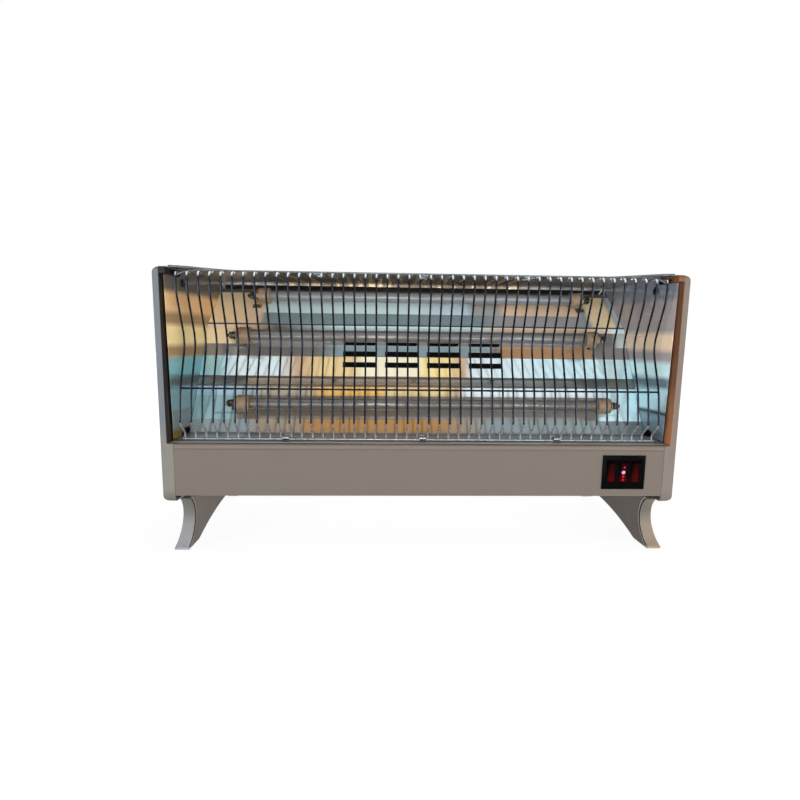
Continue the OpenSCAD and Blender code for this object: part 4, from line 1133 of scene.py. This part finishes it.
# The point in metres that the lamps aim at
LAMP_AIM = Vector((0, 0, 0.15))
PURE_WHITE = (1.0, 1.0, 1.0, 1.0)
# Strength of the world's soft light, and of the white that is seen directly
SOFT_LIGHT, SEEN_LIGHT = 0.1, 1.0
# Distances from the middle in metres between which the floor pales into the white room, the glow's share at
# the nearer one, and its brightness
FLOOR_NEAR, FLOOR_FAR, FLOOR_SHARE, FLOOR_GLOW = 0.35, 1.1, 0.8, 1.14
# Half a side of the floor, in metres
FLOOR_HALF = 6.0


class HEATER_OT_stage(bpy.types.Operator):
    """Set the camera, the soft lamps, the pale world and the floor"""

    bl_idname = "heater.stage"
    bl_label = "Stage"

    def execute(self, context):
        self.set_camera(context.scene)
        for lamp in LAMPS:
            self.add_lamp(context.scene, *lamp)
        self.set_world(context.scene)
        self.lay_floor(context.scene)
        context.scene.view_settings.view_transform = "Standard"
        return {"FINISHED"}

    def set_camera(self, scene):
        """Place a camera that sees the heater as the photo does."""
        yaw, pitch, roll = (math.radians(angle) for angle in CAMERA_TURN)
        forward = Vector((math.sin(yaw) * math.cos(pitch), math.cos(yaw) * math.cos(pitch), -math.sin(pitch)))
        level = Vector((math.cos(yaw), -math.sin(yaw), 0.0))
        above = level.cross(forward)
        right = math.cos(roll) * level + math.sin(roll) * above
        up = math.cos(roll) * above - math.sin(roll) * level
        data = bpy.data.cameras.new("photo camera")
        data.lens = CAMERA_LENS
        data.sensor_width = 36.0
        data.clip_start = 0.01
        camera = bpy.data.objects.new("photo camera", data)
        place = Vector(CAMERA_PLACE) + Vector((0, FRONT, 0))
        axes = Matrix((right, up, -forward)).transposed().to_4x4()
        camera.matrix_world = Matrix.Translation(place) @ axes
        scene.collection.objects.link(camera)
        scene.camera = camera

    def add_lamp(self, scene, name, place, size, power, tint):
        data = bpy.data.lights.new(name, "AREA")
        data.shape = "RECTANGLE"
        data.size, data.size_y = size
        data.energy = power
        data.color = tint
        lamp = bpy.data.objects.new(name, data)
        turn = (LAMP_AIM - Vector(place)).to_track_quat("-Z", "Y").to_matrix().to_4x4()
        lamp.matrix_world = Matrix.Translation(place) @ turn
        scene.collection.objects.link(lamp)

    def set_world(self, scene):
        """White where it is seen directly, and a soft grey light elsewhere."""
        scene.world = bpy.data.worlds.new("pale room")
        scene.world.use_nodes = True
        tree = scene.world.node_tree
        tree.nodes.clear()
        seen = seen_directly(tree)
        soft, white = (
            add_node(tree, "ShaderNodeBackground", inputs={"Color": PURE_WHITE, "Strength": strength})
            for strength in (SOFT_LIGHT, SEEN_LIGHT)
        )
        mixed = add_node(tree, "ShaderNodeMixShader", inputs={0: seen, 1: soft, 2: white})
        add_node_output(tree, "ShaderNodeOutputWorld", mixed)

    def lay_floor(self, scene):
        """A pale floor that takes soft shadows near the heater and glows white further out."""
        bm = bmesh.new()
        bmesh.ops.create_grid(bm, x_segments=1, y_segments=1, size=FLOOR_HALF)
        mesh = bpy.data.meshes.new("floor")
        bm.to_mesh(mesh)
        bm.free()
        material = bpy.data.materials.new("pale floor")
        material.use_nodes = True
        tree = material.node_tree
        tree.nodes.clear()
        seen = seen_directly(tree)
        matt = add_node(tree, "ShaderNodeBsdfDiffuse", inputs={"Color": (0.9, 0.9, 0.9, 1)})
        glow = add_node(tree, "ShaderNodeEmission", inputs={"Color": PURE_WHITE, "Strength": FLOOR_GLOW})
        place = add_node(tree, "ShaderNodeTexCoord", output="Object")
        away = add_node(tree, "ShaderNodeVectorMath", {"operation": "LENGTH"}, {0: place}, output="Value")
        spread = {"Value": away, "From Min": FLOOR_NEAR, "From Max": FLOOR_FAR, "To Min": FLOOR_SHARE}
        share = add_node(tree, "ShaderNodeMapRange", {"interpolation_type": "SMOOTHSTEP"}, spread)
        mixed = add_node(tree, "ShaderNodeMixShader", inputs={0: seen * share, 1: matt, 2: glow})
        add_node_output(tree, "ShaderNodeOutputMaterial", mixed)
        mesh.materials.append(material)
        floor = bpy.data.objects.new("floor", mesh)
        scene.collection.objects.link(floor)


def seen_directly(tree):
    """1 for rays from the camera, from gloss and through glass, and 0 for soft light."""
    ray = "ShaderNodeLightPath"
    camera, gloss, glass = (
        add_node(tree, ray, output=name) for name in ("Is Camera Ray", "Is Glossy Ray", "Is Transmission Ray")
    )
    return camera.maths("MAXIMUM", camera, gloss.maths("MAXIMUM", gloss, glass))


def add_node_output(tree, kind, shader):
    """Link a shader to a new output node."""
    output = tree.nodes.new(kind)
    tree.links.new(shader.socket, output.inputs["Surface"])


class HEATER_PT_sidebar(bpy.types.Panel):
    """Lists the heater's steps, sizes and colours"""

    bl_idname = "HEATER_PT_sidebar"
    bl_label = "Fan heater"
    bl_space_type = "VIEW_3D"
    bl_region_type = "UI"
    bl_category = "Heater"

    def draw(self, context):
        for step in STEPS:
            self.layout.operator(step.bl_idname)
        for group in (context.scene.heater_sizes, context.scene.heater_colours):
            box = self.layout.box()
            for name in group.__annotations__:
                box.prop(group, name)


STEPS = (
    HEATER_OT_stage, HEATER_OT_case, HEATER_OT_reflector, HEATER_OT_grille, HEATER_OT_tubes, HEATER_OT_switch,
    HEATER_OT_fan, HEATER_OT_legs,
)
CLASSES = (HeaterSizes, HeaterColours, *STEPS, HEATER_PT_sidebar)


def register():
    for cls in CLASSES:
        bpy.utils.register_class(cls)
    bpy.types.Scene.heater_sizes = bpy.props.PointerProperty(type=HeaterSizes)
    bpy.types.Scene.heater_colours = bpy.props.PointerProperty(type=HeaterColours)


def unregister():
    del bpy.types.Scene.heater_colours
    del bpy.types.Scene.heater_sizes
    for cls in reversed(CLASSES):
        bpy.utils.unregister_class(cls)


def main():
    register()
    for step in STEPS:
        getattr(bpy.ops.heater, step.bl_idname.split(".")[1])()


if __name__ == "__main__":
    main()
